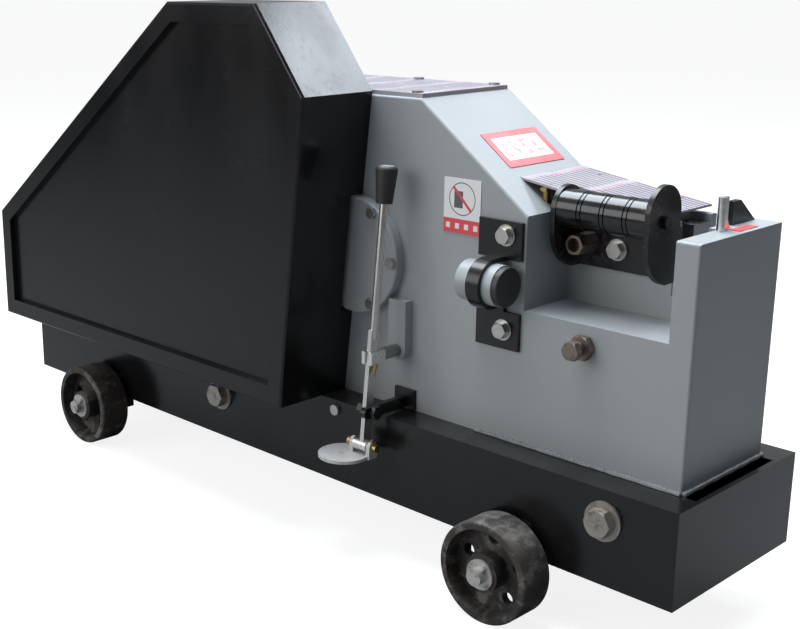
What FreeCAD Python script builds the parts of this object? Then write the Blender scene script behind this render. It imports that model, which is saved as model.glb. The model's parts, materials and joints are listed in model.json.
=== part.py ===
# Wheeled rebar cutter: an electric motor turns a flywheel by V-belts, a gear train with a
# jaw clutch turns a crankshaft, and the crank drives a ram whose blade shears a bar that
# lies across the mouth in the nose.
#
# Frame: +X towards the nose, -Y the operator's side (belt guard and clutch lever),
# +Z up. The origin is on the floor under the middle of the whole machine. Millimetres.

import FreeCAD, Part
import math
import os

V = FreeCAD.Vector
os.makedirs("parts", exist_ok=True)

# ---------------------------------------------------------------- driving dimensions
machine_width = 420.0          # over the belt guard and the fan cover
base_length = 1200.0
base_width = 250.0
base_height = 111.0
base_bottom_z = 73.0
base_near_y = -135.0
rail_flange = 42.0
rail_wall = 6.0
deck_wall = 6.0
tray_drop = 14.0

wheel_radius = 61.0
wheel_width = 47.0
wheel_gap = 8.0                # between the wheel and the side of the base
front_wheel_x = 393.0
rear_wheel_x = -406.0
axle_radius = 10.0
rim_wall = 9.0
wheel_hub_radius = 22.0

body_near_y = -92.0
body_width = 170.0
body_wall = 12.0
body_rear_x = -190.0
housing_top_z = 574.0
shoulder_x = 203.0             # where the top ends and the slope starts
step_x = 364.0                 # foot of the slope and side of the pocket
nose_top_z = 454.0
nose_end_x = 577.0
pocket_back_y = -9.0
pocket_floor_z = 345.0
mouth_left_x = 499.0
mouth_right_x = 538.0
pocket_right_x = 549.0         # face of the nose block in front of the mouth
mouth_floor_z = 372.0
lid_wall = 5.0
lid_margin = 4.0

crank_x = 106.0
crank_z = 372.0
crank_throw = 20.5
crank_journal = 22.0
crank_seat = 24.0
crank_pin_radius = 18.0
web_radius = 46.0

bull_teeth = 42
second_pinion_teeth = 12
bull_module = 5.0
first_gear_teeth = 44
first_pinion_teeth = 12
first_module = 4.0
flywheel_shaft_x = -70.0
flywheel_shaft_z = 430.0
flywheel_radius = 165.0
flywheel_width = 54.0
flywheel_shaft_radius = 18.0
second_shaft_radius = 15.0

motor_x = -460.0
motor_shaft_height = 100.0
motor_radius = 90.0
motor_plate_wall = 10.0
motor_pulley_radius = 55.0
motor_shaft_radius = 14.0
motor_front_y = -75.0

belt_count = 3
belt_pitch = 17.0
belt_width = 12.0
belt_height = 10.0

guard_near_y = -210.0
guard_wall = 3.0
guard_rim = 25.0
guard_inset = 8.0

ram_height = 76.0
ram_width = 61.0
ram_length = 130.0
ram_tongue = 46.0
ram_liner = 6.0
blade_depth = 23.0
blade_width = 32.0
blade_top_z = 446.0
fixed_blade_depth = 20.0

lever_x = 182.0
lever_tilt = 5.6               # degrees from upright, the top nearer the body
lever_pivot_y = -156.0
lever_pivot_z = 195.0
lever_top_z = 497.0
lever_rod_radius = 5.0
lever_bar_width = 13.0
lever_bar_wall = 6.0
lever_bar_top_z = 297.0
knob_length = 45.0
knob_radius = 14.0
pedal_hinge_z = 150.0
pedal_radius = 32.0
pedal_wall = 4.0
pedal_drop = 15.0
shift_rod_z = 262.0
shift_rod_radius = 8.0

stop_left_x = 378.0
stop_right_x = 508.0
stop_wall = 6.0
stop_low_z = 391.0
roller_radius = 22.0
roller_y = -47.0
roller_z = 461.0
roller_pin_radius = 7.0

clamp_left_x = 300.0
clamp_right_x = 361.0
clamp_wall = 5.0
clamp_strap = 18.0
canister_radius = 24.0
canister_z = 376.0

run_gap = 0.05                 # radial running clearance of shafts and pins
side_gap = 0.3                 # clearance between faces that slide or turn past each other
bolt_gap = 0.5                 # clearance of bolts in plain holes

# ---------------------------------------------------------------- sizes that follow
base_top_z = base_bottom_z + base_height
base_far_y = base_near_y + base_width
base_mid_y = base_near_y + base_width / 2
body_far_y = body_near_y + body_width
inner_near_y = body_near_y + body_wall
inner_far_y = body_far_y - body_wall
guard_far_y = body_near_y
motor_plate_z = base_top_z + motor_plate_wall
motor_z = motor_plate_z + motor_shaft_height
fan_cover_end_y = machine_width + guard_near_y
slope_run = step_x - shoulder_x
slope_fall = housing_top_z - nose_top_z
slope_length = math.hypot(slope_run, slope_fall)
slope_angle = math.degrees(math.atan2(slope_fall, slope_run))
slope_rate = slope_fall / slope_run
stroke = 2 * crank_throw

bull_radius = bull_module * bull_teeth / 2
second_pinion_radius = bull_module * second_pinion_teeth / 2
first_gear_radius = first_module * first_gear_teeth / 2
first_pinion_radius = first_module * first_pinion_teeth / 2

# Second shaft: where both gear pairs mesh, below the line from the first shaft to the crank.
first_centres = first_gear_radius + first_pinion_radius
second_centres = bull_radius + second_pinion_radius
span_x = crank_x - flywheel_shaft_x
span_z = crank_z - flywheel_shaft_z
shaft_span = math.hypot(span_x, span_z)
along = (first_centres ** 2 - second_centres ** 2 + shaft_span ** 2) / (2 * shaft_span)
aside = math.sqrt(first_centres ** 2 - along ** 2)
second_shaft_x = flywheel_shaft_x + (along * span_x + aside * span_z) / shaft_span
second_shaft_z = flywheel_shaft_z + (along * span_z - aside * span_x) / shaft_span

# Planes across the gear room, from the operator's side.
bull_near_y = inner_near_y + 6.0
bull_face = 26.0
bull_far_y = bull_near_y + bull_face
jaw_height = 6.0
jaw_rest_gap = 10.0
sleeve_tip_y = bull_far_y + jaw_height + jaw_rest_gap
sleeve_near_y = sleeve_tip_y + jaw_height
sleeve_width = 22.0
sleeve_far_y = sleeve_near_y + sleeve_width
sleeve_radius = 38.0
groove_radius = 31.0
groove_width = 8.0
groove_y = sleeve_near_y + 7.0
fork_wall = groove_width - 2 * side_gap - 1.0
first_gear_near_y = sleeve_tip_y
first_gear_face = 24.0
ram_near_y = pocket_back_y + body_wall + 1.0
ram_far_y = ram_near_y + ram_width
ram_mid_y = (ram_near_y + ram_far_y) / 2
conrod_width = 28.0
web_wall = 13.0
web_gap = 2.0
ram_z = crank_z + crank_throw / 2
ram_low_z = ram_z - ram_height / 2
ram_high_z = ram_z + ram_height / 2
ram_front_x = mouth_left_x - blade_depth
ram_back_x = ram_front_x - ram_tongue - ram_length
wrist_x = ram_back_x + 28.0
wrist_radius = 11.0
shear_y = ram_near_y + 26.0


# ---------------------------------------------------------------- shape helpers
def box(x0, x1, y0, y1, z0, z1):
    return Part.makeBox(x1 - x0, y1 - y0, z1 - z0, V(x0, y0, z0))


def rod_x(y, z, radius, x0, x1):
    return Part.makeCylinder(radius, x1 - x0, V(x0, y, z), V(1, 0, 0))


def rod_y(x, z, radius, y0, y1):
    return Part.makeCylinder(radius, y1 - y0, V(x, y0, z), V(0, 1, 0))


def rod_z(x, y, radius, z0, z1):
    return Part.makeCylinder(radius, z1 - z0, V(x, y, z0), V(0, 0, 1))


def ring_y(x, z, outer, inner, y0, y1):
    return rod_y(x, z, outer, y0, y1).cut(rod_y(x, z, inner, y0 - 1, y1 + 1))


def ring_x(y, z, outer, inner, x0, x1):
    return rod_x(y, z, outer, x0, x1).cut(rod_x(y, z, inner, x0 - 1, x1 + 1))


def outline_y(points, y):
    return Part.makePolygon([V(x, y, z) for x, z in points] + [V(points[0][0], y, points[0][1])])


def prism_y(points, y0, y1):
    return Part.Face(outline_y(points, y0)).extrude(V(0, y1 - y0, 0))


def prism_x(points, x0, x1):
    corners = [V(x0, y, z) for y, z in points]
    return Part.Face(Part.makePolygon(corners + corners[:1])).extrude(V(x1 - x0, 0, 0))


def shrunk_prism_y(points, inset, y0, y1):
    face = Part.Face(outline_y(points, y0)).makeOffset2D(-inset, 2)
    return face.extrude(V(0, y1 - y0, 0))


def hexagon(corner_radius):
    return [(corner_radius * math.cos(math.radians(60 * k)), corner_radius * math.sin(math.radians(60 * k)))
            for k in range(6)]


def eased(prism, round_bar, corner_radius):
    """A hexagon with its corners turned off at both ends."""
    rims = [e for e in round_bar.Edges if e.Curve.TypeId == "Part::GeomCircle"]
    return prism.common(round_bar.makeChamfer(corner_radius * 0.12, rims))


def hex_y(x, z, corner_radius, y0, y1):
    prism = prism_y([(x + a, z + b) for a, b in hexagon(corner_radius)], y0, y1)
    return eased(prism, rod_y(x, z, corner_radius, y0, y1), corner_radius)


def hex_x(y, z, corner_radius, x0, x1):
    prism = prism_x([(y + a, z + b) for a, b in hexagon(corner_radius)], x0, x1)
    return eased(prism, rod_x(y, z, corner_radius, x0, x1), corner_radius)


def hex_z(x, y, corner_radius, z0, z1):
    corners = [V(x + a, y + b, z0) for a, b in hexagon(corner_radius)]
    prism = Part.Face(Part.makePolygon(corners + corners[:1])).extrude(V(0, 0, z1 - z0))
    return eased(prism, rod_z(x, y, corner_radius, z0, z1), corner_radius)


def fuse(shapes):
    first = shapes[0]
    if len(shapes) > 1:
        first = first.fuse(shapes[1:])
    return first.removeSplitter()


def on_circle(x, z, radius, count, start=0.0):
    turns = [math.radians(start + 360.0 * k / count) for k in range(count)]
    return [(x + radius * math.cos(a), z + radius * math.sin(a)) for a in turns]


def mirrored(shape, y):
    return shape.mirror(V(0, y, 0), V(0, 1, 0))


def group(shapes):
    return Part.makeCompound(shapes)


nodes = {}


def keep(name, shape):
    nodes[name] = shape


# ---------------------------------------------------------------- base on wheels
tie_bolt_places = [(512.0, 148.0), (-126.0, 136.0)]
tie_radius = 10.0
tie_head_radius = 17.0
tie_head = 12.0
tie_washer_radius = 22.5
tie_washer = 3.0
deck_end_x = 557.0             # the tray between here and the nose end lies lower
beam_width = 24.0
guard_bolt_places = [-540.0, -250.0, 50.0]
guard_bolt_y = -115.0
guard_bolt_radius = 4.0
side_bolt_x = 106.0
side_bolt_z = 171.0
axle_block_width = 44.0
axle_block_depth = 30.0
axle_block_foot_z = wheel_radius - 15.0


def side_rail():
    y0 = base_near_y
    web = box(-base_length / 2, base_length / 2, y0, y0 + rail_wall, base_bottom_z, base_top_z)
    top = box(-base_length / 2, base_length / 2, y0, y0 + rail_flange, base_top_z - rail_wall, base_top_z)
    foot = box(-base_length / 2, base_length / 2, y0, y0 + rail_flange, base_bottom_z, base_bottom_z + rail_wall)
    return fuse([web, top, foot])


def axle_blocks():
    blocks = []
    for x in (front_wheel_x, rear_wheel_x):
        near = box(x - axle_block_width / 2, x + axle_block_width / 2, base_near_y, base_near_y + axle_block_depth,
                   axle_block_foot_z, base_bottom_z)
        blocks += [near, mirrored(near, base_mid_y)]
    return blocks


def base_frame():
    near = side_rail()
    near_in = base_near_y + rail_wall
    far_in = base_far_y - rail_wall
    pieces = [near, mirrored(near, base_mid_y)]
    for x0 in (-base_length / 2, base_length / 2 - rail_wall):
        pieces.append(box(x0, x0 + rail_wall, near_in, far_in, base_bottom_z, base_top_z))
    tray_top = base_top_z - tray_drop
    pieces.append(box(-base_length / 2 + rail_wall, deck_end_x, near_in, far_in, base_top_z - deck_wall, base_top_z))
    pieces.append(box(deck_end_x - beam_width, deck_end_x, near_in, far_in, tray_top - deck_wall, base_top_z))
    pieces.append(box(deck_end_x, base_length / 2 - rail_wall, near_in, far_in, tray_top - deck_wall, tray_top))
    frame = fuse(pieces + axle_blocks())
    for x in (front_wheel_x, rear_wheel_x):
        frame = frame.cut(rod_y(x, wheel_radius, axle_radius, base_near_y - 1, base_far_y + 1))
    for x, z in tie_bolt_places:
        frame = frame.cut(rod_y(x, z, tie_radius + bolt_gap, base_near_y - 1, base_far_y + 1))
    for x in guard_bolt_places:
        frame = frame.cut(rod_z(x, guard_bolt_y, guard_bolt_radius, base_bottom_z + 50, base_top_z + 1))
    return frame.cut(rod_y(side_bolt_x, side_bolt_z, guard_bolt_radius, base_near_y - 1, base_near_y + 12))


def tie_bolt(x, z):
    shank = rod_y(x, z, tie_radius, base_near_y - tie_washer - 1, base_far_y + tie_washer + 1)
    parts = [shank]
    for y0, direction in ((base_near_y, -1), (base_far_y, 1)):
        face = y0 + direction * tie_washer
        low, high = sorted((y0, face))
        parts.append(rod_y(x, z, tie_washer_radius, low, high))
        low, high = sorted((face, face + direction * tie_head))
        parts.append(hex_y(x, z, tie_head_radius, low, high))
    return fuse(parts)


keep("base_frame", base_frame())
keep("tie_bolts", group([tie_bolt(x, z) for x, z in tie_bolt_places]))

wheel_in_y = base_near_y - wheel_gap
wheel_out_y = wheel_in_y - wheel_width
washer_wall = 3.0
axle_end_y = wheel_out_y - washer_wall - 11.0
pin_radius = 2.0
web_hole_radius = 7.5


def wheel(x):
    z = wheel_radius
    tread = rod_y(x, z, wheel_radius, wheel_out_y, wheel_in_y)
    tread = tread.makeFillet(3.0, [e for e in tread.Edges if e.Curve.TypeId == "Part::GeomCircle"])
    inner = wheel_radius - rim_wall
    web_wall_y = 10.0
    web_mid = (wheel_out_y + wheel_in_y) / 2 + 3
    tread = tread.cut(rod_y(x, z, inner, wheel_out_y - 1, web_mid - web_wall_y / 2))
    tread = tread.cut(rod_y(x, z, inner, web_mid + web_wall_y / 2, wheel_in_y + 1))
    hub = rod_y(x, z, wheel_hub_radius, wheel_out_y, wheel_in_y + wheel_gap - 2)
    solid = fuse([tread, hub])
    for hx, hz in on_circle(x, z, (inner + wheel_hub_radius) / 2, 5, 18):
        solid = solid.cut(rod_y(hx, hz, web_hole_radius, wheel_out_y - 1, wheel_in_y + 1))
    return solid.cut(rod_y(x, z, axle_radius + run_gap, wheel_out_y - 1, wheel_in_y + wheel_gap))


def axle(x):
    bar = rod_y(x, wheel_radius, axle_radius, axle_end_y, 2 * base_mid_y - axle_end_y)
    for hole in retainer_pins(x):
        bar = bar.cut(hole)
    return bar


def retainer_pins(x):
    y = wheel_out_y - washer_wall - side_gap - pin_radius - 0.2
    reach = axle_radius + 6
    near = rod_z(x, y, pin_radius, wheel_radius - reach, wheel_radius + reach)
    near = near.rotate(V(x, y, wheel_radius), V(0, 1, 0), 35)
    return [near, mirrored(near, base_mid_y)]


def axle_washers(x):
    near = ring_y(x, wheel_radius, 18.0, axle_radius, wheel_out_y - washer_wall - side_gap, wheel_out_y - side_gap)
    return [near, mirrored(near, base_mid_y)]


for name, x in (("front", front_wheel_x), ("rear", rear_wheel_x)):
    keep(name + "_wheel_near", wheel(x))
    keep(name + "_wheel_far", mirrored(wheel(x), base_mid_y))
keep("wheel_axles", group([axle(x) for x in (front_wheel_x, rear_wheel_x)]))
retainers = []
for x in (front_wheel_x, rear_wheel_x):
    retainers += axle_washers(x) + retainer_pins(x)
keep("axle_retainers", group(retainers))

# ---------------------------------------------------------------- machine body
body_outline = [
    (body_rear_x, base_top_z), (nose_end_x, base_top_z), (nose_end_x, nose_top_z),
    (step_x, nose_top_z), (shoulder_x, housing_top_z), (body_rear_x, housing_top_z)]
slope_offset_x = body_wall * math.sin(math.radians(slope_angle))
slope_offset_z = body_wall * math.cos(math.radians(slope_angle))
room_end_x = step_x - body_wall


def slope_inner_z(x):
    return housing_top_z - slope_offset_z - (x - (shoulder_x - slope_offset_x)) * slope_rate


def room():
    floor_z = base_top_z + body_wall
    roof_z = housing_top_z - slope_offset_z
    return prism_y([
        (body_rear_x + body_wall, floor_z), (room_end_x, floor_z), (room_end_x, slope_inner_z(room_end_x)),
        (shoulder_x - slope_offset_x, roof_z), (body_rear_x + body_wall, roof_z)], inner_near_y, inner_far_y)


channel_near_y = ram_near_y - side_gap
channel_far_y = ram_far_y + side_gap
channel_low_z = ram_low_z - side_gap - ram_liner
channel_high_z = ram_high_z + side_gap + ram_liner
channel_end_x = ram_front_x - ram_tongue + stroke + 4.0
blade_overrun = 3.0
first_bearing = 40.0
second_bearing = 31.0
bush_radius = 32.0
shaft_places = [
    (flywheel_shaft_x, flywheel_shaft_z, first_bearing),
    (second_shaft_x, second_shaft_z, second_bearing),
    (crank_x, crank_z, bush_radius)]


def body_openings():
    floor_z = base_top_z + body_wall
    past = 5.0
    cuts = [room()]
    cuts.append(box(body_rear_x + 30, shoulder_x - 28, inner_near_y + 12, inner_far_y - 12,
                    housing_top_z - 2 * body_wall, housing_top_z + past))
    cuts.append(box(room_end_x - 1, nose_end_x - body_wall, inner_near_y, inner_far_y, floor_z, pocket_floor_z - 18))
    cuts.append(box(step_x, pocket_right_x, body_near_y - past, pocket_back_y, pocket_floor_z, nose_top_z + past))
    cuts.append(box(mouth_left_x, mouth_right_x, pocket_back_y - 1, body_far_y + past, mouth_floor_z, nose_top_z + past))
    cuts.append(box(room_end_x - 1, channel_end_x, channel_near_y, channel_far_y, channel_low_z, channel_high_z))
    cuts.append(box(channel_end_x - 1, mouth_left_x + 1, channel_near_y, channel_far_y, mouth_floor_z, channel_high_z))
    cuts.append(box(ram_front_x - 2, mouth_left_x + 1, channel_near_y, channel_far_y, mouth_floor_z, nose_top_z + past))
    cuts.append(box(mouth_right_x - 1, mouth_right_x + blade_overrun, shear_y, channel_far_y,
                    mouth_floor_z, nose_top_z + past))
    for x, z, radius in shaft_places:
        cuts.append(rod_y(x, z, radius, body_near_y - past, inner_near_y + 1))
        cuts.append(rod_y(x, z, radius, inner_far_y - 1, body_far_y + past))
    cuts.append(rod_y(lever_x, shift_rod_z, shift_rod_radius + run_gap, body_near_y - past, inner_near_y + 1))
    return cuts


# The fixed blade sits flush in a seat in the face of the nose block.
fixed_blade_near_y = pocket_back_y
fixed_blade_low_z = mouth_floor_z


def fixed_blade_block():
    return box(mouth_right_x, mouth_right_x + fixed_blade_depth, fixed_blade_near_y, shear_y - side_gap,
               fixed_blade_low_z, blade_top_z)


# ---- fasteners that enter the body
hex_head = 10.0
hex_head_wall = 8.0
washer_radius = 12.5
stud_radius = 8.0
stud_x = 447.0
stud_z = 320.0
small_bolt_radius = 6.0


def clamp_bolt_places():
    x = clamp_left_x + 40.0
    return [(x, 430.0), (x, 319.0)]


stop_bolt_x = 433.0
stop_bolt_z = 415.0
stop_stud_x = 397.0
stop_stud_z = 420.0
stop_web_y = pocket_back_y - stop_wall
bolt_depth = 10.0


def shanks():
    out = []
    for x, z in clamp_bolt_places():
        out.append(rod_y(x, z, small_bolt_radius, body_near_y - clamp_wall, body_near_y + bolt_depth))
    out.append(rod_y(stop_bolt_x, stop_bolt_z, small_bolt_radius, stop_web_y, pocket_back_y + bolt_depth))
    return out


def near_stud(x, z, tip_y, root_y):
    return rod_y(x, z, stud_radius, tip_y, root_y)


def side_stud():
    shank = near_stud(stud_x, stud_z, body_near_y - 22.0, body_near_y + bolt_depth)
    return fuse([shank, hex_y(stud_x, stud_z, 11.5, body_near_y - 28.0, body_near_y - 19.0)])


def stop_stud():
    return near_stud(stop_stud_x, stop_stud_z, stop_web_y - 20.0, pocket_back_y + bolt_depth)


cover_left_x = 314.0
cover_notch_x = 376.0
cover_right_x = 492.0
cover_left_z = 489.0
cover_right_z = 463.0
cover_wall = 2.5
cover_nut_wall = 5.0
cover_near_y = -47.0
cover_notch_y = -14.0
cover_bolt_places = [(350.0, -38.0), (350.0, 62.0), (456.0, -2.0), (456.0, 70.0)]
cover_bolt_radius = 5.0


def cover_under_z(x):
    share = (x - cover_left_x) / (cover_right_x - cover_left_x)
    return cover_left_z + share * (cover_right_z - cover_left_z) - cover_wall


def cover_posts():
    posts = []
    for x, y in cover_bolt_places:
        foot_z = nose_top_z - bolt_depth
        posts.append(rod_z(x, y, cover_bolt_radius, foot_z, cover_under_z(x) + cover_wall - 0.3))
    return posts


lid_screw_places = [(x, y) for x in (-172.0, -60.0, 60.0, 187.0) for y in (-80.0, 66.0)]
lid_screw_radius = 4.0


def lid_shanks():
    return [rod_z(x, y, lid_screw_radius, housing_top_z - 8, housing_top_z + lid_wall) for x, y in lid_screw_places]


cap_wall = 14.0
near_caps = [(flywheel_shaft_x, flywheel_shaft_z, 56.0, 4), (second_shaft_x, second_shaft_z, 45.0, 4)]
far_caps = near_caps + [(crank_x, crank_z, 62.0, 6)]
crank_cover_radius = 75.0
crank_cover_wall = 14.0
cap_bolt_radius = 4.0
cap_bolt_head = 7.5
cap_bolt_wall = 5.5


def cap_bolts():
    out = []
    rows = [(x, z, r, n, -1, cap_wall) for x, z, r, n in near_caps]
    rows += [(x, z, r, n, 1, cap_wall) for x, z, r, n in far_caps]
    rows.append((crank_x, crank_z, crank_cover_radius, 6, -1, crank_cover_wall))
    for x, z, radius, count, side, wall in rows:
        face = body_near_y if side < 0 else body_far_y
        seat = face + side * wall
        start = 0.0 if radius == crank_cover_radius else 45.0
        for bx, bz in on_circle(x, z, radius - 8.0, count, start):
            low, high = sorted((seat, seat + side * cap_bolt_wall))
            head = hex_y(bx, bz, cap_bolt_head, low, high)
            low, high = sorted((seat, face - side * 8.0))
            out.append(fuse([head, rod_y(bx, bz, cap_bolt_radius, low, high)]))
    return out


all_cap_bolts = cap_bolts()
pin_x = 555.0
pin_y = -16.0


boss_width = 28.0
boss_wall = 13.0
boss_low_z = 249.0
boss_high_z = 326.0


def guide_boss():
    half = boss_width / 2
    plate = box(lever_x - half, lever_x + half, body_near_y - boss_wall, body_near_y, boss_low_z + half, boss_high_z)
    end = rod_y(lever_x, boss_low_z + half, half, body_near_y - boss_wall, body_near_y)
    solid = fuse([plate, end])
    return solid.cut(rod_y(lever_x, shift_rod_z, shift_rod_radius + run_gap, body_near_y - boss_wall - 1, body_near_y + 1))


def machine_body():
    solid = prism_y(body_outline, body_near_y, body_far_y)
    edges = []
    for edge in solid.Edges:
        ys = {round(v.Point.y, 3) for v in edge.Vertexes}
        above = min(v.Point.z for v in edge.Vertexes) > base_top_z - 1
        at_floor = max(v.Point.z for v in edge.Vertexes) < base_top_z + 1
        if len(ys) == 1 and above and not at_floor:
            edges.append(edge)
    solid = solid.makeFillet(3.0, edges)
    solid = solid.fuse(guide_boss())
    for cut in body_openings():
        solid = solid.cut(cut)
    solid = solid.cut(fixed_blade_block())
    for cut in shanks() + [side_stud(), stop_stud()] + cover_posts() + lid_shanks() + all_cap_bolts:
        solid = solid.cut(cut)
    return solid


keep("machine_body", machine_body())


def lid():
    solid = box(body_rear_x + lid_margin, shoulder_x - 1.0, body_near_y + lid_margin, body_far_y - lid_margin,
                housing_top_z, housing_top_z + lid_wall)
    for shank in lid_shanks():
        solid = solid.cut(shank)
    return solid


keep("top_lid", lid())
lid_head = 2.6
keep("lid_screws", group([
    fuse([shank, rod_z(x, y, 7.0, housing_top_z + lid_wall, housing_top_z + lid_wall + lid_head)])
    for shank, (x, y) in zip(lid_shanks(), lid_screw_places)]))


def ram_cover():
    left = [(cover_left_x, cover_left_z), (cover_left_x, cover_left_z - cover_wall)]
    right = [(cover_right_x, cover_right_z - cover_wall), (cover_right_x, cover_right_z)]
    plate = prism_y(left + right, cover_near_y, body_far_y)
    plate = plate.cut(box(cover_notch_x, cover_right_x + 1, cover_near_y - 1, cover_notch_y,
                          nose_top_z, cover_left_z + 1))
    return plate.cut(group(cover_posts()))


cover_plate = ram_cover().cut(prism_y(body_outline, body_near_y - 1, body_far_y + 1))
keep("ram_cover", cover_plate)
keep("cover_bolts", group([
    fuse([post, hex_z(x, y, 8.5, cover_under_z(x) - cover_nut_wall - 1.5, cover_under_z(x) - 1.5)])
    for post, (x, y) in zip(cover_posts(), cover_bolt_places)]))

label_wall = 0.8


def slope_plate(y0, y1, s0, s1):
    c = math.cos(math.radians(slope_angle))
    s = math.sin(math.radians(slope_angle))
    corners = [(shoulder_x + a * c + b * s, housing_top_z - a * s + b * c)
               for a, b in ((s0, 0.0), (s1, 0.0), (s1, label_wall), (s0, label_wall))]
    return prism_y(corners, y0, y1)


sign_box = box(243.0, 298.0, body_near_y - label_wall, body_near_y, 421.0, 486.0)
mark_box = box(559.0, 571.0, -4.0, 34.0, nose_top_z, nose_top_z + label_wall)
keep("label_plates", group([slope_plate(-50.0, 56.0, 70.0, 128.0), sign_box, mark_box]))


def cap(x, z, radius, side, bore, recess_radius):
    face = body_near_y if side < 0 else body_far_y
    low, high = sorted((face, face + side * cap_wall))
    solid = rod_y(x, z, radius, low, high)
    low, high = sorted((face, face + side * 5.0))
    solid = solid.cut(rod_y(x, z, recess_radius, low, high))
    if bore:
        solid = solid.cut(rod_y(x, z, bore, body_near_y - 50, body_far_y + 50))
    return solid


def bearing_caps():
    flywheel_row, second_row, crank_row = far_caps
    solids = [
        cap(flywheel_row[0], flywheel_row[1], flywheel_row[2], -1, flywheel_shaft_radius + 1.0, first_bearing),
        cap(second_row[0], second_row[1], second_row[2], -1, 0, second_bearing),
        cap(flywheel_row[0], flywheel_row[1], flywheel_row[2], 1, 0, first_bearing),
        cap(second_row[0], second_row[1], second_row[2], 1, 0, second_bearing),
        cap(crank_row[0], crank_row[1], crank_row[2], 1, 0, bush_radius)]
    cutters = group(all_cap_bolts)
    return group([solid.cut(cutters) for solid in solids])


def crank_cover():
    low = body_near_y - crank_cover_wall
    solid = rod_y(crank_x, crank_z, crank_cover_radius, low, body_near_y)
    outer = [e for e in solid.Edges if e.Curve.TypeId == "Part::GeomCircle" and e.CenterOfMass.y < body_near_y - 1]
    solid = solid.makeFillet(3.0, outer)
    solid = solid.cut(rod_y(crank_x, crank_z, bush_radius, low + 6.0, body_near_y + 1))
    return solid.cut(group(all_cap_bolts))


keep("bearing_caps", bearing_caps())
keep("crank_cover", crank_cover())
keep("cap_bolts", group(all_cap_bolts))


def bearing(x, z, outer, inner, y0, y1):
    race_out = ring_y(x, z, outer, outer - 5.0, y0, y1)
    race_in = ring_y(x, z, inner + 6.0, inner, y0, y1)
    return race_out, race_in


bearing_width = body_wall + 4.0
near_bearing_y = (inner_near_y - bearing_width, inner_near_y)
far_bearing_y = (inner_far_y, inner_far_y + bearing_width)


def ball_ring(x, z, outer, inner, ys):
    middle = (outer - 5.0 + inner + run_gap + 6.0) / 2
    ball = (outer - 5.0 - inner - run_gap - 6.0) / 2
    y = (ys[0] + ys[1]) / 2
    races = bearing(x, z, outer, inner + run_gap, ys[0], ys[1])
    cage = ring_y(x, z, middle + ball, middle - ball, y - 3.0, y + 3.0)
    return fuse([races[0], races[1], cage])


keep("shaft_bearings", group([
    ball_ring(x, z, outer, shaft, ys)
    for x, z, outer, shaft in (
        (flywheel_shaft_x, flywheel_shaft_z, first_bearing, flywheel_shaft_radius),
        (second_shaft_x, second_shaft_z, second_bearing, second_shaft_radius))
    for ys in (near_bearing_y, far_bearing_y)]))
keep("crank_bushes", group([
    ring_y(crank_x, crank_z, bush_radius, crank_journal + run_gap, inner_near_y - bearing_width, inner_near_y),
    ring_y(crank_x, crank_z, bush_radius, crank_journal + run_gap, inner_far_y, inner_far_y + bearing_width)]))


# ---------------------------------------------------------------- gear train
def gear(x, z, module, teeth, y0, y1, phase):
    pitch = module * teeth / 2
    tip = pitch + 0.9 * module
    root = pitch - 1.2 * module
    step = 2 * math.pi / teeth
    points = []
    for k in range(teeth):
        middle = phase + k * step
        for share, radius in ((-0.32, root), (-0.13, tip), (0.13, tip), (0.32, root)):
            angle = middle + share * step
            points.append((x + radius * math.cos(angle), z + radius * math.sin(angle)))
    return prism_y(points, y0, y1)


def toward(x0, z0, x1, z1):
    return math.atan2(z1 - z0, x1 - x0)


line_to_crank = toward(second_shaft_x, second_shaft_z, crank_x, crank_z)
line_to_first = toward(second_shaft_x, second_shaft_z, flywheel_shaft_x, flywheel_shaft_z)
bull_phase = line_to_crank + math.pi
second_pinion_phase = line_to_crank + math.pi / second_pinion_teeth
first_gear_phase = line_to_first
first_pinion_phase = line_to_first + math.pi + math.pi / first_pinion_teeth


jaw_count = 3
jaw_half_angle = 27.0


def jaws(y0, y1, start):
    solids = []
    for k in range(jaw_count):
        wedge = ring_y(crank_x, crank_z, sleeve_radius - 1.0, crank_seat + 1.5, y0, y1)
        middle = math.radians(start + 360.0 * k / jaw_count)
        half = math.radians(jaw_half_angle)
        far = 2 * sleeve_radius
        sector = prism_y([
            (crank_x, crank_z),
            (crank_x + far * math.cos(middle - half), crank_z + far * math.sin(middle - half)),
            (crank_x + far * math.cos(middle), crank_z + far * math.sin(middle)),
            (crank_x + far * math.cos(middle + half), crank_z + far * math.sin(middle + half))], y0, y1)
        solids.append(wedge.common(sector))
    return solids


def bull_gear():
    disc = gear(crank_x, crank_z, bull_module, bull_teeth, bull_near_y, bull_far_y, bull_phase)
    for hx, hz in on_circle(crank_x, crank_z, 68.0, 6, 30):
        disc = disc.cut(rod_y(hx, hz, 15.0, bull_near_y - 1, bull_far_y + 1))
    disc = fuse([disc] + jaws(bull_far_y - 1, bull_far_y + jaw_height, 0.0))
    return disc.cut(rod_y(crank_x, crank_z, crank_seat + run_gap, bull_near_y - 1, bull_far_y + jaw_height + 1))


key_width = 8.0
key_height = 5.0


def clutch_sleeve():
    drum = rod_y(crank_x, crank_z, sleeve_radius, sleeve_near_y, sleeve_far_y)
    drum = fuse([drum] + jaws(sleeve_tip_y, sleeve_near_y + 1, 180.0 / jaw_count))
    drum = drum.cut(ring_y(crank_x, crank_z, sleeve_radius + 1, groove_radius, groove_y, groove_y + groove_width))
    drum = drum.cut(rod_y(crank_x, crank_z, crank_seat + run_gap, sleeve_tip_y - 1, sleeve_far_y + 1))
    slot = box(crank_x - key_width / 2 - side_gap, crank_x + key_width / 2 + side_gap, sleeve_tip_y - 1,
               sleeve_far_y + 1, crank_z, crank_z + crank_seat + key_height + side_gap)
    return drum.cut(slot)


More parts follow.
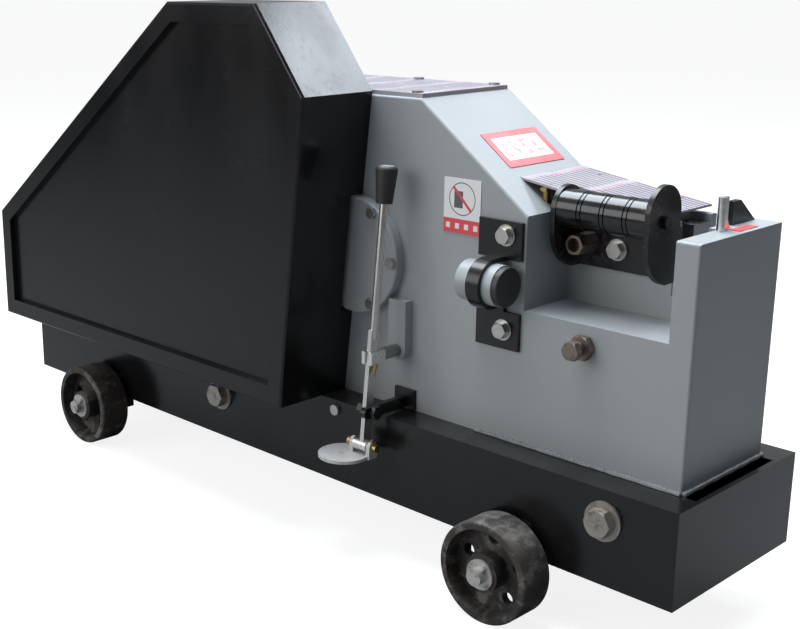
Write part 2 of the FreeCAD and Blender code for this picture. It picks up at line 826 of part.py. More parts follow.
pin_x0 = crank_x - crank_throw
web_near_y = ram_mid_y - conrod_width / 2 - web_gap - web_wall
web_far_y = ram_mid_y + conrod_width / 2 + web_gap + web_wall


def crankshaft():
    near_end = inner_near_y - bearing_width + 1.0
    far_end = inner_far_y + bearing_width - 1.0
    parts = [
        rod_y(crank_x, crank_z, crank_journal, near_end, inner_near_y + 2),
        rod_y(crank_x, crank_z, crank_seat, inner_near_y + 1, web_near_y + 1),
        rod_y(crank_x, crank_z, web_radius, web_near_y, web_near_y + web_wall),
        rod_y(pin_x0, crank_z, crank_pin_radius, web_near_y + 1, web_far_y - 1),
        rod_y(crank_x, crank_z, web_radius, web_far_y - web_wall, web_far_y),
        rod_y(crank_x, crank_z, crank_journal, web_far_y - 1, far_end),
        box(crank_x - key_width / 2, crank_x + key_width / 2, bull_far_y + jaw_height + 0.5, web_near_y + 1,
            crank_z, crank_z + crank_seat + key_height - 1)]
    return fuse(parts)


eye_radius = crank_pin_radius + crank_throw / 2 + 1.0
rod_head_radius = eye_radius + 13.0
rod_shank_height = 30.0


def connecting_rod():
    y0 = ram_mid_y - conrod_width / 2
    y1 = ram_mid_y + conrod_width / 2
    head = rod_y(pin_x0, ram_z, rod_head_radius, y0, y1)
    shank = box(pin_x0, wrist_x, y0 + 4, y1 - 4, ram_z - rod_shank_height / 2, ram_z + rod_shank_height / 2)
    small = rod_y(wrist_x, ram_z, wrist_radius + 11.0, y0, y1)
    rod = fuse([head, shank, small])
    rod = rod.cut(rod_y(pin_x0, ram_z, eye_radius, y0 - 1, y1 + 1))
    return rod.cut(rod_y(wrist_x, ram_z, wrist_radius, y0 - 1, y1 + 1))


def ram():
    tongue_x = ram_front_x - ram_tongue
    block = box(ram_back_x, tongue_x, ram_near_y, ram_far_y, ram_low_z, ram_high_z)
    tongue = box(tongue_x - 1, ram_front_x, ram_near_y, ram_far_y, mouth_floor_z + 2 * side_gap, ram_high_z)
    solid = fuse([block, tongue])
    slot_half = conrod_width / 2 + 1.0
    solid = solid.cut(box(ram_back_x - 1, wrist_x + 30, ram_mid_y - slot_half, ram_mid_y + slot_half,
                          ram_low_z - 1, ram_high_z + 1))
    return solid.cut(rod_y(wrist_x, ram_z, wrist_radius, ram_near_y - 1, ram_far_y + 1))


blade_screw_radius = 5.0
blade_screw_head = 8.0
blade_screw_places = [392.0, 412.0]


def blade_screw(y, z, face_x, direction, depth):
    back = face_x + direction * depth
    low, high = sorted((face_x, back))
    shank = rod_x(y, z, blade_screw_radius, low, high)
    low, high = sorted((face_x, face_x + direction * 7.0))
    return fuse([shank, rod_x(y, z, blade_screw_head, low, high)])


def moving_screws():
    middle = (shear_y + ram_far_y) / 2
    return [blade_screw(middle, z, mouth_left_x - 1.0, -1, blade_depth + 14.0) for z in blade_screw_places]


def fixed_screws():
    middle = (fixed_blade_near_y + shear_y) / 2
    return [blade_screw(middle, z, mouth_right_x + 1.0, 1, fixed_blade_depth + 10.0) for z in blade_screw_places]


def moving_blade():
    block = box(ram_front_x, mouth_left_x, shear_y + side_gap, ram_far_y, mouth_floor_z + 2 * side_gap, blade_top_z)
    return block.cut(group(moving_screws()))


keep("bull_gear", bull_gear())
keep("clutch_sleeve", clutch_sleeve())
keep("crankshaft", crankshaft())
keep("connecting_rod", connecting_rod())
keep("wrist_pin", rod_y(wrist_x, ram_z, wrist_radius, ram_near_y + 1, ram_far_y - 1))
keep("ram", ram().cut(group(moving_screws())))
keep("moving_blade", group([moving_blade()] + moving_screws()))
keep("fixed_blade", group([fixed_blade_block().cut(group(fixed_screws()))] + fixed_screws()))
nodes["machine_body"] = nodes["machine_body"].cut(group(fixed_screws()))
keep("ram_guides", group([
    box(room_end_x + 4, channel_end_x, channel_near_y, channel_far_y, channel_low_z, channel_low_z + ram_liner),
    box(room_end_x + 4, ram_front_x - 2, channel_near_y, channel_far_y, channel_high_z - ram_liner, channel_high_z)]))

hub_wall = 14.0
flywheel_near_y = -187.0
flywheel_far_y = flywheel_near_y + flywheel_width
web_recess = 5.0


def grooves(x, z, radius, y_mid):
    cuts = []
    for k in range(belt_count):
        y = y_mid + (k - (belt_count - 1) / 2) * belt_pitch
        half = belt_width / 2 + 0.4
        cuts.append(ring_y(x, z, radius + 1, radius - belt_height - 1.0, y - half, y + half))
    return cuts


belt_mid_y = (flywheel_near_y + flywheel_far_y) / 2


def flywheel():
    x, z = flywheel_shaft_x, flywheel_shaft_z
    rim = ring_y(x, z, flywheel_radius, flywheel_radius - 26.0, flywheel_near_y, flywheel_far_y)
    hub = rod_y(x, z, flywheel_shaft_radius + hub_wall, flywheel_near_y, flywheel_far_y)
    web = rod_y(x, z, flywheel_radius - 20.0, flywheel_near_y + web_recess, flywheel_far_y - web_recess)
    solid = fuse([rim, hub, web])
    for cut in grooves(x, z, flywheel_radius, belt_mid_y):
        solid = solid.cut(cut)
    return solid.cut(rod_y(x, z, flywheel_shaft_radius, flywheel_near_y - 1, flywheel_far_y + 1))


def pinion_shaft():
    x, z = flywheel_shaft_x, flywheel_shaft_z
    end_y = inner_far_y + bearing_width - 1.0
    bar = rod_y(x, z, flywheel_shaft_radius, flywheel_near_y - 11.0, end_y)
    teeth = gear(x, z, first_module, first_pinion_teeth, first_gear_near_y - 2, first_gear_near_y + first_gear_face + 2,
                 first_pinion_phase)
    return fuse([bar, teeth])


def intermediate_shaft():
    x, z = second_shaft_x, second_shaft_z
    bar = rod_y(x, z, second_shaft_radius, inner_near_y - bearing_width + 1.0, inner_far_y + bearing_width - 1.0)
    seat = rod_y(x, z, second_shaft_radius + 4, bull_far_y + 2, first_gear_near_y + first_gear_face + 12)
    teeth = gear(x, z, bull_module, second_pinion_teeth, bull_near_y - 2, bull_far_y + 2, second_pinion_phase)
    return fuse([bar, seat, teeth])


def intermediate_gear():
    x, z = second_shaft_x, second_shaft_z
    y1 = first_gear_near_y + first_gear_face
    disc = gear(x, z, first_module, first_gear_teeth, first_gear_near_y, y1, first_gear_phase)
    for hx, hz in on_circle(x, z, 54.0, 6, 0):
        disc = disc.cut(rod_y(hx, hz, 14.0, first_gear_near_y - 1, y1 + 1))
    return disc.cut(rod_y(x, z, second_shaft_radius + 4, first_gear_near_y - 1, y1 + 1))


keep("flywheel", flywheel())
keep("flywheel_nut", hex_y(flywheel_shaft_x, flywheel_shaft_z, 27.0, flywheel_near_y - 9.0, flywheel_near_y).cut(
    rod_y(flywheel_shaft_x, flywheel_shaft_z, flywheel_shaft_radius, flywheel_near_y - 20, flywheel_near_y + 1)))
keep("pinion_shaft", pinion_shaft())
keep("intermediate_shaft", intermediate_shaft())
keep("intermediate_gear", intermediate_gear())

# ---------------------------------------------------------------- motor
shield_wall = 15.0
motor_body_far_y = fan_cover_end_y - 58.0
motor_body_near_y = motor_front_y + shield_wall
fin_count = 36
fin_height = 9.0
stator_bore = 56.0
foot_half = 95.0
foot_wall = 12.0
foot_near_y = -22.0
foot_far_y = 118.0
motor_bolt_places = [(motor_x + sx * 80.0, y) for sx in (-1, 1) for y in (foot_near_y + 14, foot_far_y - 14)]
motor_bolt_radius = 6.0


def motor_housing():
    core = motor_radius - fin_height
    y0, y1 = motor_body_near_y, motor_body_far_y
    parts = [rod_y(motor_x, motor_z, core, y0, y1)]
    for k in range(fin_count):
        fin = box(motor_x - 1.5, motor_x + 1.5, y0 + 6, y1 - 6, motor_z + core - 2, motor_z + motor_radius)
        parts.append(fin.rotate(V(motor_x, 0, motor_z), V(0, 1, 0), 360.0 * k / fin_count))
    for side in (-1, 1):
        inner, outer = sorted((motor_x + side * 45.0, motor_x + side * foot_half))
        parts.append(box(inner, outer, foot_near_y, foot_far_y, motor_plate_z, motor_plate_z + foot_wall))
        low, high = sorted((motor_x + side * 45.0, motor_x + side * 62.0))
        parts.append(box(low, high, foot_near_y, foot_far_y, motor_plate_z, motor_z - 45.0))
    solid = fuse(parts)
    solid = solid.cut(rod_y(motor_x, motor_z, stator_bore, y0 - 1, y1 + 1))
    for x, y in motor_bolt_places:
        solid = solid.cut(rod_z(x, y, motor_bolt_radius, motor_plate_z - 1, motor_plate_z + foot_wall + 1))
    return solid


def motor_shield():
    y0 = motor_front_y
    plate = rod_y(motor_x, motor_z, motor_radius - 3, y0 + 5, y0 + shield_wall)
    boss = rod_y(motor_x, motor_z, 40.0, y0, y0 + 6)
    solid = fuse([plate, boss])
    near = solid.cut(rod_y(motor_x, motor_z, motor_shaft_radius + run_gap, y0 - 1, y0 + shield_wall + 1))
    far_y = motor_body_far_y
    far = ring_y(motor_x, motor_z, motor_radius - 6, motor_shaft_radius + run_gap, far_y, far_y + 8)
    return group([near, far])


def fan_cover():
    y0 = motor_body_far_y + 8
    y1 = fan_cover_end_y
    shell = rod_y(motor_x, motor_z, motor_radius + 2, y0, y1)
    rim = [e for e in shell.Edges if e.Curve.TypeId == "Part::GeomCircle" and e.CenterOfMass.y > y1 - 1]
    shell = shell.makeFillet(10.0, rim)
    shell = shell.cut(rod_y(motor_x, motor_z, motor_radius - 2, y0 - 1, y1 - 4))
    for radius in (24.0, 38.0, 52.0, 66.0):
        slot = ring_y(motor_x, motor_z, radius + 4, radius - 4, y1 - 6, y1 + 1)
        for k in range(6):
            rib = box(motor_x - 4, motor_x + 4, y1 - 7, y1 + 2, motor_z, motor_z + motor_radius)
            slot = slot.cut(rib.rotate(V(motor_x, 0, motor_z), V(0, 1, 0), 60.0 * k))
        shell = shell.cut(slot)
    return shell


def motor_rotor():
    fan_y = motor_body_far_y + 20
    parts = [
        rod_y(motor_x, motor_z, motor_shaft_radius, flywheel_near_y + 3, fan_y + 18),
        rod_y(motor_x, motor_z, stator_bore - 1.0, motor_body_near_y + 30, motor_body_far_y - 30)]
    solid = fuse(parts)
    hub = rod_y(motor_x, motor_z, 26.0, fan_y, fan_y + 16)
    blades = [hub]
    for k in range(8):
        blade = box(motor_x - 1.5, motor_x + 1.5, fan_y, fan_y + 18, motor_z + 20, motor_z + 74)
        blades.append(blade.rotate(V(motor_x, 0, motor_z), V(0, 1, 0), 45.0 * k))
    return fuse([solid] + blades)


def motor_plate():
    plate = box(motor_x - 112, motor_x + 112, foot_near_y - 12, foot_far_y + 12, base_top_z, motor_plate_z)
    for x, y in motor_bolt_places:
        plate = plate.cut(rod_z(x, y, motor_bolt_radius, base_top_z - 1, motor_plate_z + 1))
    return plate


def motor_bolt(x, y):
    shank = rod_z(x, y, motor_bolt_radius, base_top_z, motor_plate_z + foot_wall)
    seat = motor_plate_z + foot_wall
    return fuse([shank, hex_z(x, y, 11.0, seat, seat + 8.0)])


def terminal_box():
    top = motor_z + motor_radius
    case = box(motor_x - 46, motor_x + 46, 0.0, 84.0, top - 14, top + 40)
    case = case.makeFillet(6.0, [e for e in case.Edges if abs(e.Vertexes[0].Point.z - e.Vertexes[-1].Point.z) > 1])
    cover = box(motor_x - 49, motor_x + 49, -3.0, 87.0, top + 40, top + 46)
    solid = fuse([case, cover])
    return solid.cut(rod_y(motor_x, motor_z, motor_radius + side_gap, -5, 90))


def cable_gland():
    x0 = motor_x - 46
    z = motor_z + motor_radius + 14
    body = fuse([hex_x(42.0, z, 15.0, x0 - 10, x0), rod_x(42.0, z, 11.0, x0 - 26, x0 - 10)])
    return body.cut(rod_x(42.0, z, 6.0, x0 - 27, x0 - 4))


def motor_pulley():
    solid = rod_y(motor_x, motor_z, motor_pulley_radius, flywheel_near_y, flywheel_far_y)
    for cut in grooves(motor_x, motor_z, motor_pulley_radius, belt_mid_y):
        solid = solid.cut(cut)
    return solid.cut(rod_y(motor_x, motor_z, motor_shaft_radius, flywheel_near_y - 1, flywheel_far_y + 1))


def belt_loop(shrink, y0, y1):
    r1 = motor_pulley_radius - shrink
    r2 = flywheel_radius - shrink
    dx = flywheel_shaft_x - motor_x
    dz = flywheel_shaft_z - motor_z
    distance = math.hypot(dx, dz)
    heading = math.atan2(dz, dx)
    lean = math.acos((r1 - r2) / distance)
    corners = []
    for sign, order in ((1, (0, 1)), (-1, (1, 0))):
        angle = heading + sign * lean
        ends = [(motor_x + r1 * math.cos(angle), motor_z + r1 * math.sin(angle)),
                (flywheel_shaft_x + r2 * math.cos(angle), flywheel_shaft_z + r2 * math.sin(angle))]
        corners += [ends[k] for k in order]
    return fuse([prism_y(corners, y0, y1), rod_y(motor_x, motor_z, r1, y0, y1),
                 rod_y(flywheel_shaft_x, flywheel_shaft_z, r2, y0, y1)])


def v_belts():
    belts = []
    for k in range(belt_count):
        y = belt_mid_y + (k - (belt_count - 1) / 2) * belt_pitch
        low, high = y - belt_width / 2, y + belt_width / 2
        belts.append(belt_loop(-0.5, low, high).cut(belt_loop(belt_height - 0.5, low - 1, high + 1)))
    return group(belts)


keep("motor_housing", motor_housing())
keep("motor_shields", motor_shield())
keep("fan_cover", fan_cover())
keep("motor_rotor", motor_rotor())
keep("motor_plate", motor_plate())
keep("terminal_box", group([terminal_box(), cable_gland()]))
keep("motor_pulley", motor_pulley())
keep("v_belts", v_belts())

# ---------------------------------------------------------------- belt guard
guard_outline = [(-131.0, 684.0), (41.0, 684.0), (124.0, 578.0), (80.0, base_top_z), (-581.0, base_top_z),
                 (-580.0, 353.0)]


def belt_guard():
    solid = prism_y(guard_outline, guard_near_y, guard_far_y)
    near_edges = [e for e in solid.Edges if max(v.Point.y for v in e.Vertexes) < guard_near_y + 1]
    solid = solid.makeFillet(3.5, near_edges)
    solid = solid.cut(shrunk_prism_y(guard_outline, guard_wall, guard_near_y + guard_inset + guard_wall, guard_far_y + 1))
    solid = solid.cut(shrunk_prism_y(guard_outline, guard_rim, guard_near_y - 1, guard_near_y + guard_inset))
    gap = 2.0
    solid = solid.cut(rod_y(crank_x, crank_z, crank_cover_radius + gap, body_near_y - crank_cover_wall - cap_bolt_wall - gap,
                            guard_far_y + 1))
    for x in guard_bolt_places:
        solid = solid.cut(rod_z(x, guard_bolt_y, guard_bolt_radius, base_top_z - 1, base_top_z + guard_wall + 1))
    return solid


def guard_bolt(x):
    seat = base_top_z + guard_wall
    shank = rod_z(x, guard_bolt_y, guard_bolt_radius, base_top_z - rail_wall - 3, seat)
    return fuse([shank, hex_z(x, guard_bolt_y, 7.5, seat, seat + 5)])


def side_bolt():
    shank = rod_y(side_bolt_x, side_bolt_z, guard_bolt_radius, base_near_y, base_near_y + 12)
    return fuse([shank, rod_y(side_bolt_x, side_bolt_z, 7.0, base_near_y - 4, base_near_y)])


keep("belt_guard", belt_guard())
keep("mounting_bolts", group([motor_bolt(x, y) for x, y in motor_bolt_places]
                             + [guard_bolt(x) for x in guard_bolt_places] + [side_bolt()]))


# ---------------------------------------------------------------- clutch control
def tilted(shape):
    return shape.rotate(V(lever_x, lever_pivot_y, lever_pivot_z), V(1, 0, 0), -lever_tilt)


clevis_pin_radius = 3.0
clevis_slot_radius = 4.2
clevis_wall = 5.0
clevis_half = lever_bar_wall / 2 + side_gap
lever_at_rod_y = lever_pivot_y + (shift_rod_z - lever_pivot_z) * math.tan(math.radians(lever_tilt))


def shift_rod():
    fork_y = groove_y + side_gap + 0.5
    start_y = lever_at_rod_y + 16.0
    parts = [rod_y(lever_x, shift_rod_z, shift_rod_radius, start_y, fork_y + fork_wall)]
    outer = sleeve_radius + 6.0
    angle = math.atan2(shift_rod_z - crank_z, lever_x - crank_x)
    arm_x = crank_x + outer * 0.9 * math.cos(angle)
    arm_z = crank_z + outer * 0.9 * math.sin(angle)
    across = (-math.sin(angle) * 9.0, math.cos(angle) * 9.0)
    arm = prism_y([
        (arm_x + across[0], arm_z + across[1]), (arm_x - across[0], arm_z - across[1]),
        (lever_x - across[0], shift_rod_z - across[1]), (lever_x + across[0], shift_rod_z + across[1])],
        fork_y, fork_y + fork_wall)
    half_ring = ring_y(crank_x, crank_z, outer, groove_radius + 1.0, fork_y, fork_y + fork_wall)
    reach = 2 * outer
    spread = math.radians(75.0)
    sector = prism_y([
        (crank_x, crank_z),
        (crank_x + reach * math.cos(angle - spread), crank_z + reach * math.sin(angle - spread)),
        (crank_x + reach * math.cos(angle), crank_z + reach * math.sin(angle)),
        (crank_x + reach * math.cos(angle + spread), crank_z + reach * math.sin(angle + spread))],
        fork_y, fork_y + fork_wall)
    arm = arm.cut(rod_y(crank_x, crank_z, groove_radius + 1.0, fork_y - 1, fork_y + fork_wall + 1))
    parts += [half_ring.common(sector), arm]
    parts.append(rod_y(lever_x, shift_rod_z, shift_rod_radius + 6, fork_y - 4, fork_y + fork_wall))
    return fuse(parts)


def clutch_clevis():
    y0 = lever_at_rod_y - 9.0
    y1 = lever_at_rod_y + 16.0
    parts = []
    for side in (-1, 1):
        low, high = sorted((lever_x + side * clevis_half, lever_x + side * (clevis_half + clevis_wall)))
        parts.append(box(low, high, y0, y1, shift_rod_z - 8, shift_rod_z + 8))
    outer = clevis_half + clevis_wall
    parts.append(box(lever_x - outer, lever_x + outer, y1 - 6, y1, shift_rod_z - 8, shift_rod_z + 8))
    solid = fuse(parts)
    return solid.cut(rod_x(lever_at_rod_y, shift_rod_z, clevis_pin_radius, lever_x - outer - 1, lever_x + outer + 1))


def clevis_pin():
    outer = clevis_half + clevis_wall + 2
    return rod_x(lever_at_rod_y, shift_rod_z, clevis_pin_radius, lever_x - outer, lever_x + outer)


pivot_pin_radius = 5.0
pivot_bar_height = 14.0
pivot_arm_gap = lever_bar_wall / 2 + side_gap


def lever_bracket():
    low = lever_x + pivot_arm_gap
    bar = box(low, low + 8, lever_pivot_y - 10, body_near_y, lever_pivot_z - pivot_bar_height / 2,
              lever_pivot_z + pivot_bar_height / 2)
    nose = rod_x(lever_pivot_y - 10, lever_pivot_z, pivot_bar_height / 2, low, low + 8)
    foot = box(low - 12, low + 20, body_near_y - 5, body_near_y, lever_pivot_z - 9, lever_pivot_z + 16)
    solid = fuse([bar, nose, foot])
    pin = rod_x(lever_pivot_y, lever_pivot_z, pivot_pin_radius, lever_x - lever_bar_wall / 2 - 8, low + 12)
    nut = hex_x(lever_pivot_y, lever_pivot_z, 9.0, low + 8, low + 15)
    head = hex_x(lever_pivot_y, lever_pivot_z, 9.0, lever_x - lever_bar_wall / 2 - 8 - side_gap,
                 lever_x - lever_bar_wall / 2 - side_gap)
    pin = fuse([pin, nut, head])
    return group([solid.cut(pin), pin])


pedal_x0 = lever_x - 30.0
pedal_x1 = lever_x + 12.0
pedal_sleeve_radius = 8.5
pedal_pin_radius = 4.5


def lever_bar():
    half = lever_bar_width / 2
    bar = box(lever_x - lever_bar_wall / 2, lever_x + lever_bar_wall / 2, lever_pivot_y - half, lever_pivot_y + half,
              pedal_hinge_z + 4, lever_bar_top_z)
    rod = rod_z(lever_x, lever_pivot_y, lever_rod_radius, lever_bar_top_z - 12, lever_top_z - 8)
    sleeve = rod_x(lever_pivot_y, pedal_hinge_z, pedal_sleeve_radius, lever_x - 14, lever_x + 8)
    solid = fuse([bar, rod, sleeve])
    solid = solid.cut(rod_x(lever_pivot_y, lever_pivot_z, pivot_pin_radius + run_gap, lever_x - 20, lever_x + 20))
    solid = solid.cut(rod_x(lever_pivot_y, pedal_hinge_z, pedal_pin_radius, pedal_x0 - 5, pedal_x1 + 5))
    solid = tilted(solid)
    return solid.cut(rod_x(lever_at_rod_y, shift_rod_z, clevis_slot_radius, lever_x - 20, lever_x + 20))


def lever_knob():
    low = lever_top_z - knob_length
    cone = Part.makeCone(knob_radius * 0.72, knob_radius, knob_length, V(lever_x, lever_pivot_y, low), V(0, 0, 1))
    top = [e for e in cone.Edges if e.Curve.TypeId == "Part::GeomCircle" and e.CenterOfMass.z > lever_top_z - 1]
    cone = cone.makeFillet(5.0, top)
    return tilted(cone.cut(rod_z(lever_x, lever_pivot_y, lever_rod_radius, low - 1, lever_top_z - 8)))


hinge_y = lever_pivot_y - (lever_pivot_z - pedal_hinge_z) * math.sin(math.radians(lever_tilt))
hinge_z = lever_pivot_z - (lever_pivot_z - pedal_hinge_z) * math.cos(math.radians(lever_tilt))
pedal_y = hinge_y - 17.0
pedal_z = hinge_z - pedal_drop
pedal_x = lever_x - 20.0
lug_wall = 6.0
near_lug_x = (lever_x - 14.0 - side_gap - lug_wall, lever_x - 14.0 - side_gap)
far_lug_x = (lever_x + 8.0 + side_gap, lever_x + 8.0 + side_gap + lug_wall)


def pedal():
    disc = rod_z(pedal_x, pedal_y, pedal_radius, pedal_z, pedal_z + pedal_wall)
    parts = [disc, rod_z(pedal_x - 6, pedal_y - 8, 4.0, pedal_z - 8, pedal_z + 1)]
    for x0, x1 in (near_lug_x, far_lug_x):
        parts.append(box(x0, x1, hinge_y - 7, hinge_y + 7, pedal_z, hinge_z))
        parts.append(rod_x(hinge_y, hinge_z, 7.0, x0, x1))
    solid = fuse(parts)
    return solid.cut(rod_x(hinge_y, hinge_z, pedal_pin_radius + run_gap, pedal_x0 - 5, far_lug_x[1] + 5))


def pedal_pin():
    bar = rod_x(hinge_y, hinge_z, pedal_pin_radius, near_lug_x[0] - 4, far_lug_x[1] + 7)
    cotter_x = far_lug_x[1] + 3.5
    cotter = rod_z(cotter_x, hinge_y, 1.5, hinge_z - 9, hinge_z + 14)
    head = rod_x(hinge_y, hinge_z, 7.5, near_lug_x[0] - 4, near_lug_x[0] - side_gap)
    return fuse([bar, cotter.rotate(V(cotter_x, hinge_y, hinge_z), V(1, 0, 0), 30), head])


keep("shift_rod", shift_rod())
keep("clutch_clevis", group([clutch_clevis(), clevis_pin()]))
keep("lever_bracket", lever_bracket())
keep("lever_bar", lever_bar())
keep("lever_knob", lever_knob())
keep("pedal_disc", pedal())
keep("pedal_pin", pedal_pin())


# ---------------------------------------------------------------- clamp and canister
canister_y = body_near_y - canister_radius - 1.0
tab_top_z = 446.0
tab_low_z = 402.0
lower_tab_z = (296.0, 340.0)
strap_radius = canister_radius + clamp_wall + side_gap


def clamp():
    tabs = [box(clamp_left_x, clamp_right_x, body_near_y - clamp_wall, body_near_y, tab_low_z, tab_top_z),
            box(clamp_left_x, clamp_right_x, body_near_y - clamp_wall, body_near_y, lower_tab_z[0], lower_tab_z[1])]
    middle = (clamp_left_x + clamp_right_x) / 2
    x0 = middle - clamp_strap / 2
    x1 = middle + clamp_strap / 2
    bow = ring_x(canister_y, canister_z, strap_radius, canister_radius, x0, x1)
    bow = bow.cut(box(x0 - 1, x1 + 1, canister_y, body_near_y + 50, canister_z - 60, canister_z + 60))
    top_leg = box(x0, x1, canister_y, body_near_y, canister_z + canister_radius, canister_z + strap_radius)
    low_leg = box(x0, x1, canister_y, body_near_y, canister_z - strap_radius, canister_z - canister_radius)
    ties = [box(x0, x1, body_near_y - clamp_wall, body_near_y, canister_z + canister_radius, tab_low_z + 1),
            box(x0, x1, body_near_y - clamp_wall, body_near_y, lower_tab_z[1] - 1, canister_z - canister_radius)]
    solid = fuse(tabs + [bow, top_leg, low_leg] + ties)
    for x, z in clamp_bolt_places():
        solid = solid.cut(rod_y(x, z, small_bolt_radius, body_near_y - clamp_wall - 1, body_near_y + 1))
    return solid


def canister():
    can = rod_x(canister_y, canister_z, canister_radius, clamp_left_x, clamp_right_x - 8)
    ends = [e for e in can.Edges if e.Curve.TypeId == "Part::GeomCircle" and e.CenterOfMass.x < clamp_left_x + 1]
    return can.makeFillet(2.5, ends)


def canister_cap():
    cover = rod_x(canister_y, canister_z, canister_radius - 1.0, clamp_right_x - 8, clamp_right_x)
    ends = [e for e in cover.Edges if e.Curve.TypeId == "Part::GeomCircle" and e.CenterOfMass.x > clamp_right_x - 1]
    return cover.makeFillet(2.0, ends)


keep("clamp_strap", clamp())
keep("canister", canister())
keep("canister_cap", canister_cap())


def faced_bolt(x, z, seat_y, shank):
    washer = rod_y(x, z, washer_radius, seat_y - 2.0, seat_y)
    head = hex_y(x, z, hex_head, seat_y - 2.0 - hex_head_wall, seat_y - 2.0)
    return fuse([washer, head, shank])


bolt_rows = [(x, z, body_near_y - clamp_wall) for x, z in clamp_bolt_places()]
bolt_rows.append((stop_bolt_x, stop_bolt_z, stop_web_y))
keep("bracket_bolts", group([faced_bolt(x, z, y, shank) for (x, z, y), shank in zip(bolt_rows, shanks())]))

nut_corner = 15.0
long_nut_corner = 12.5


def stud_nuts():
    low = hex_y(stud_x, stud_z, nut_corner, body_near_y - 10.0, body_near_y)
    high = hex_y(stop_stud_x, stop_stud_z, long_nut_corner, stop_web_y - 34.0, stop_web_y)
    bore = near_stud(stop_stud_x, stop_stud_z, stop_web_y - 35.0, stop_web_y + 1.0)
    return [low.cut(side_stud()), high.cut(bore)]


keep("side_studs", group([side_stud(), stop_stud()] + stud_nuts()))


# ---------------------------------------------------------------- bar stop on the near side of the mouth
def cheek(x0, near, top_z, rise):
    low_z = stop_low_z
    turn_z = low_z + 45.0
    wire = Part.Wire([
        Part.LineSegment(V(x0, stop_web_y, low_z), V(x0, stop_web_y, top_z)).toShape(),
        Part.Arc(V(x0, stop_web_y, top_z), V(x0, (stop_web_y + near) / 2, top_z + rise), V(x0, near, top_z)).toShape(),
        Part.LineSegment(V(x0, near, top_z), V(x0, near, turn_z)).toShape(),
        Part.Arc(V(x0, near, turn_z), V(x0, near + 11, low_z + 17), V(x0, near + 38, low_z)).toShape(),
        Part.LineSegment(V(x0, near + 38, low_z), V(x0, stop_web_y, low_z)).toShape()])
    return Part.Face(wire).extrude(V(stop_wall, 0, 0))


def stop_bracket():
    web = box(stop_left_x, stop_right_x, stop_web_y, pocket_back_y, stop_low_z, nose_top_z - 2.0)
    cheeks = [cheek(stop_left_x, roller_y - 22.0, roller_z + 2.0, 24.0),
              cheek(stop_right_x - stop_wall, roller_y - 30.0, roller_z + 8.0, 32.0)]
    web = web.makeFillet(10.0, [e for e in web.Edges if abs(e.Vertexes[0].Point.y - e.Vertexes[-1].Point.y) > 1
                                and e.CenterOfMass.z < stop_low_z + 1 and e.CenterOfMass.x < stop_left_x + 1])
    solid = fuse([web] + cheeks)
    for x, z, radius in ((stop_bolt_x, stop_bolt_z, small_bolt_radius), (stop_stud_x, stop_stud_z, stud_radius)):
        solid = solid.cut(rod_y(x, z, radius, stop_web_y - 1, pocket_back_y + 1))
    return solid.cut(rod_x(roller_y, roller_z, roller_pin_radius, stop_left_x - 1, stop_right_x + 1))


def stop_roller():
    x0 = stop_left_x + stop_wall + 1.0
    x1 = stop_right_x - stop_wall - 1.0
    solid = rod_x(roller_y, roller_z, roller_radius, x0, x1)
    length = x1 - x0
    for k in range(1, 4):
        middle = x0 + length * k / 4
        for offset in (-2.6, 2.6):
            solid = solid.cut(ring_x(roller_y, roller_z, roller_radius + 1, roller_radius - 1.2,
                                     middle + offset - 0.8, middle + offset + 0.8))
    return solid.cut(rod_x(roller_y, roller_z, roller_pin_radius + run_gap, x0 - 1, x1 + 1))


def roller_pin():
    bar = rod_x(roller_y, roller_z, roller_pin_radius, stop_left_x - 7, stop_right_x + 5)
    head = hex_x(roller_y, roller_z, 11.0, stop_left_x - 7, stop_left_x)
    return fuse([bar, head])


keep("stop_bracket", stop_bracket())
keep("stop_roller", stop_roller())
keep("roller_pin", roller_pin())


# ---------------------------------------------------------------- on top of the nose
def lifting_pin():
    top = nose_top_z + 36
    pin = rod_z(pin_x, pin_y, 4.5, nose_top_z, top)
    x0 = pin_x - 2.0
    wire = Part.Wire([
        Part.LineSegment(V(x0, pin_y, nose_top_z), V(x0, pin_y, top)).toShape(),
        Part.LineSegment(V(x0, pin_y, top), V(x0, pin_y + 10, top)).toShape(),
        Part.LineSegment(V(x0, pin_y + 10, top), V(x0, pin_y + 10, nose_top_z + 14)).toShape(),
        Part.Arc(V(x0, pin_y + 10, nose_top_z + 14), V(x0, pin_y + 14, nose_top_z + 4.5),
                 V(x0, pin_y + 22, nose_top_z)).toShape(),
        Part.LineSegment(V(x0, pin_y + 22, nose_top_z), V(x0, pin_y, nose_top_z)).toShape()])
    return fuse([pin, Part.Face(wire).extrude(V(4, 0, 0))])


def guide_horn():
    x0 = mouth_right_x + blade_overrun + 0.5
    return prism_x([(20.0, nose_top_z), (70.0, nose_top_z), (36.0, nose_top_z + 26), (20.0, nose_top_z + 26)],
                   x0, x0 + 7)


keep("lifting_pin", lifting_pin())
keep("guide_horn", guide_horn())

# ---------------------------------------------------------------- write every piece
for name, shape in nodes.items():
    if not shape.isValid():
        print("not valid:", name)
    shape.exportStep("parts/" + name + ".step")
print(len(nodes), "pieces written")
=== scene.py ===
import json
import math

import bmesh
import bpy
from bpy.props import FloatProperty, FloatVectorProperty, IntProperty, PointerProperty
from mathutils import Matrix, Vector


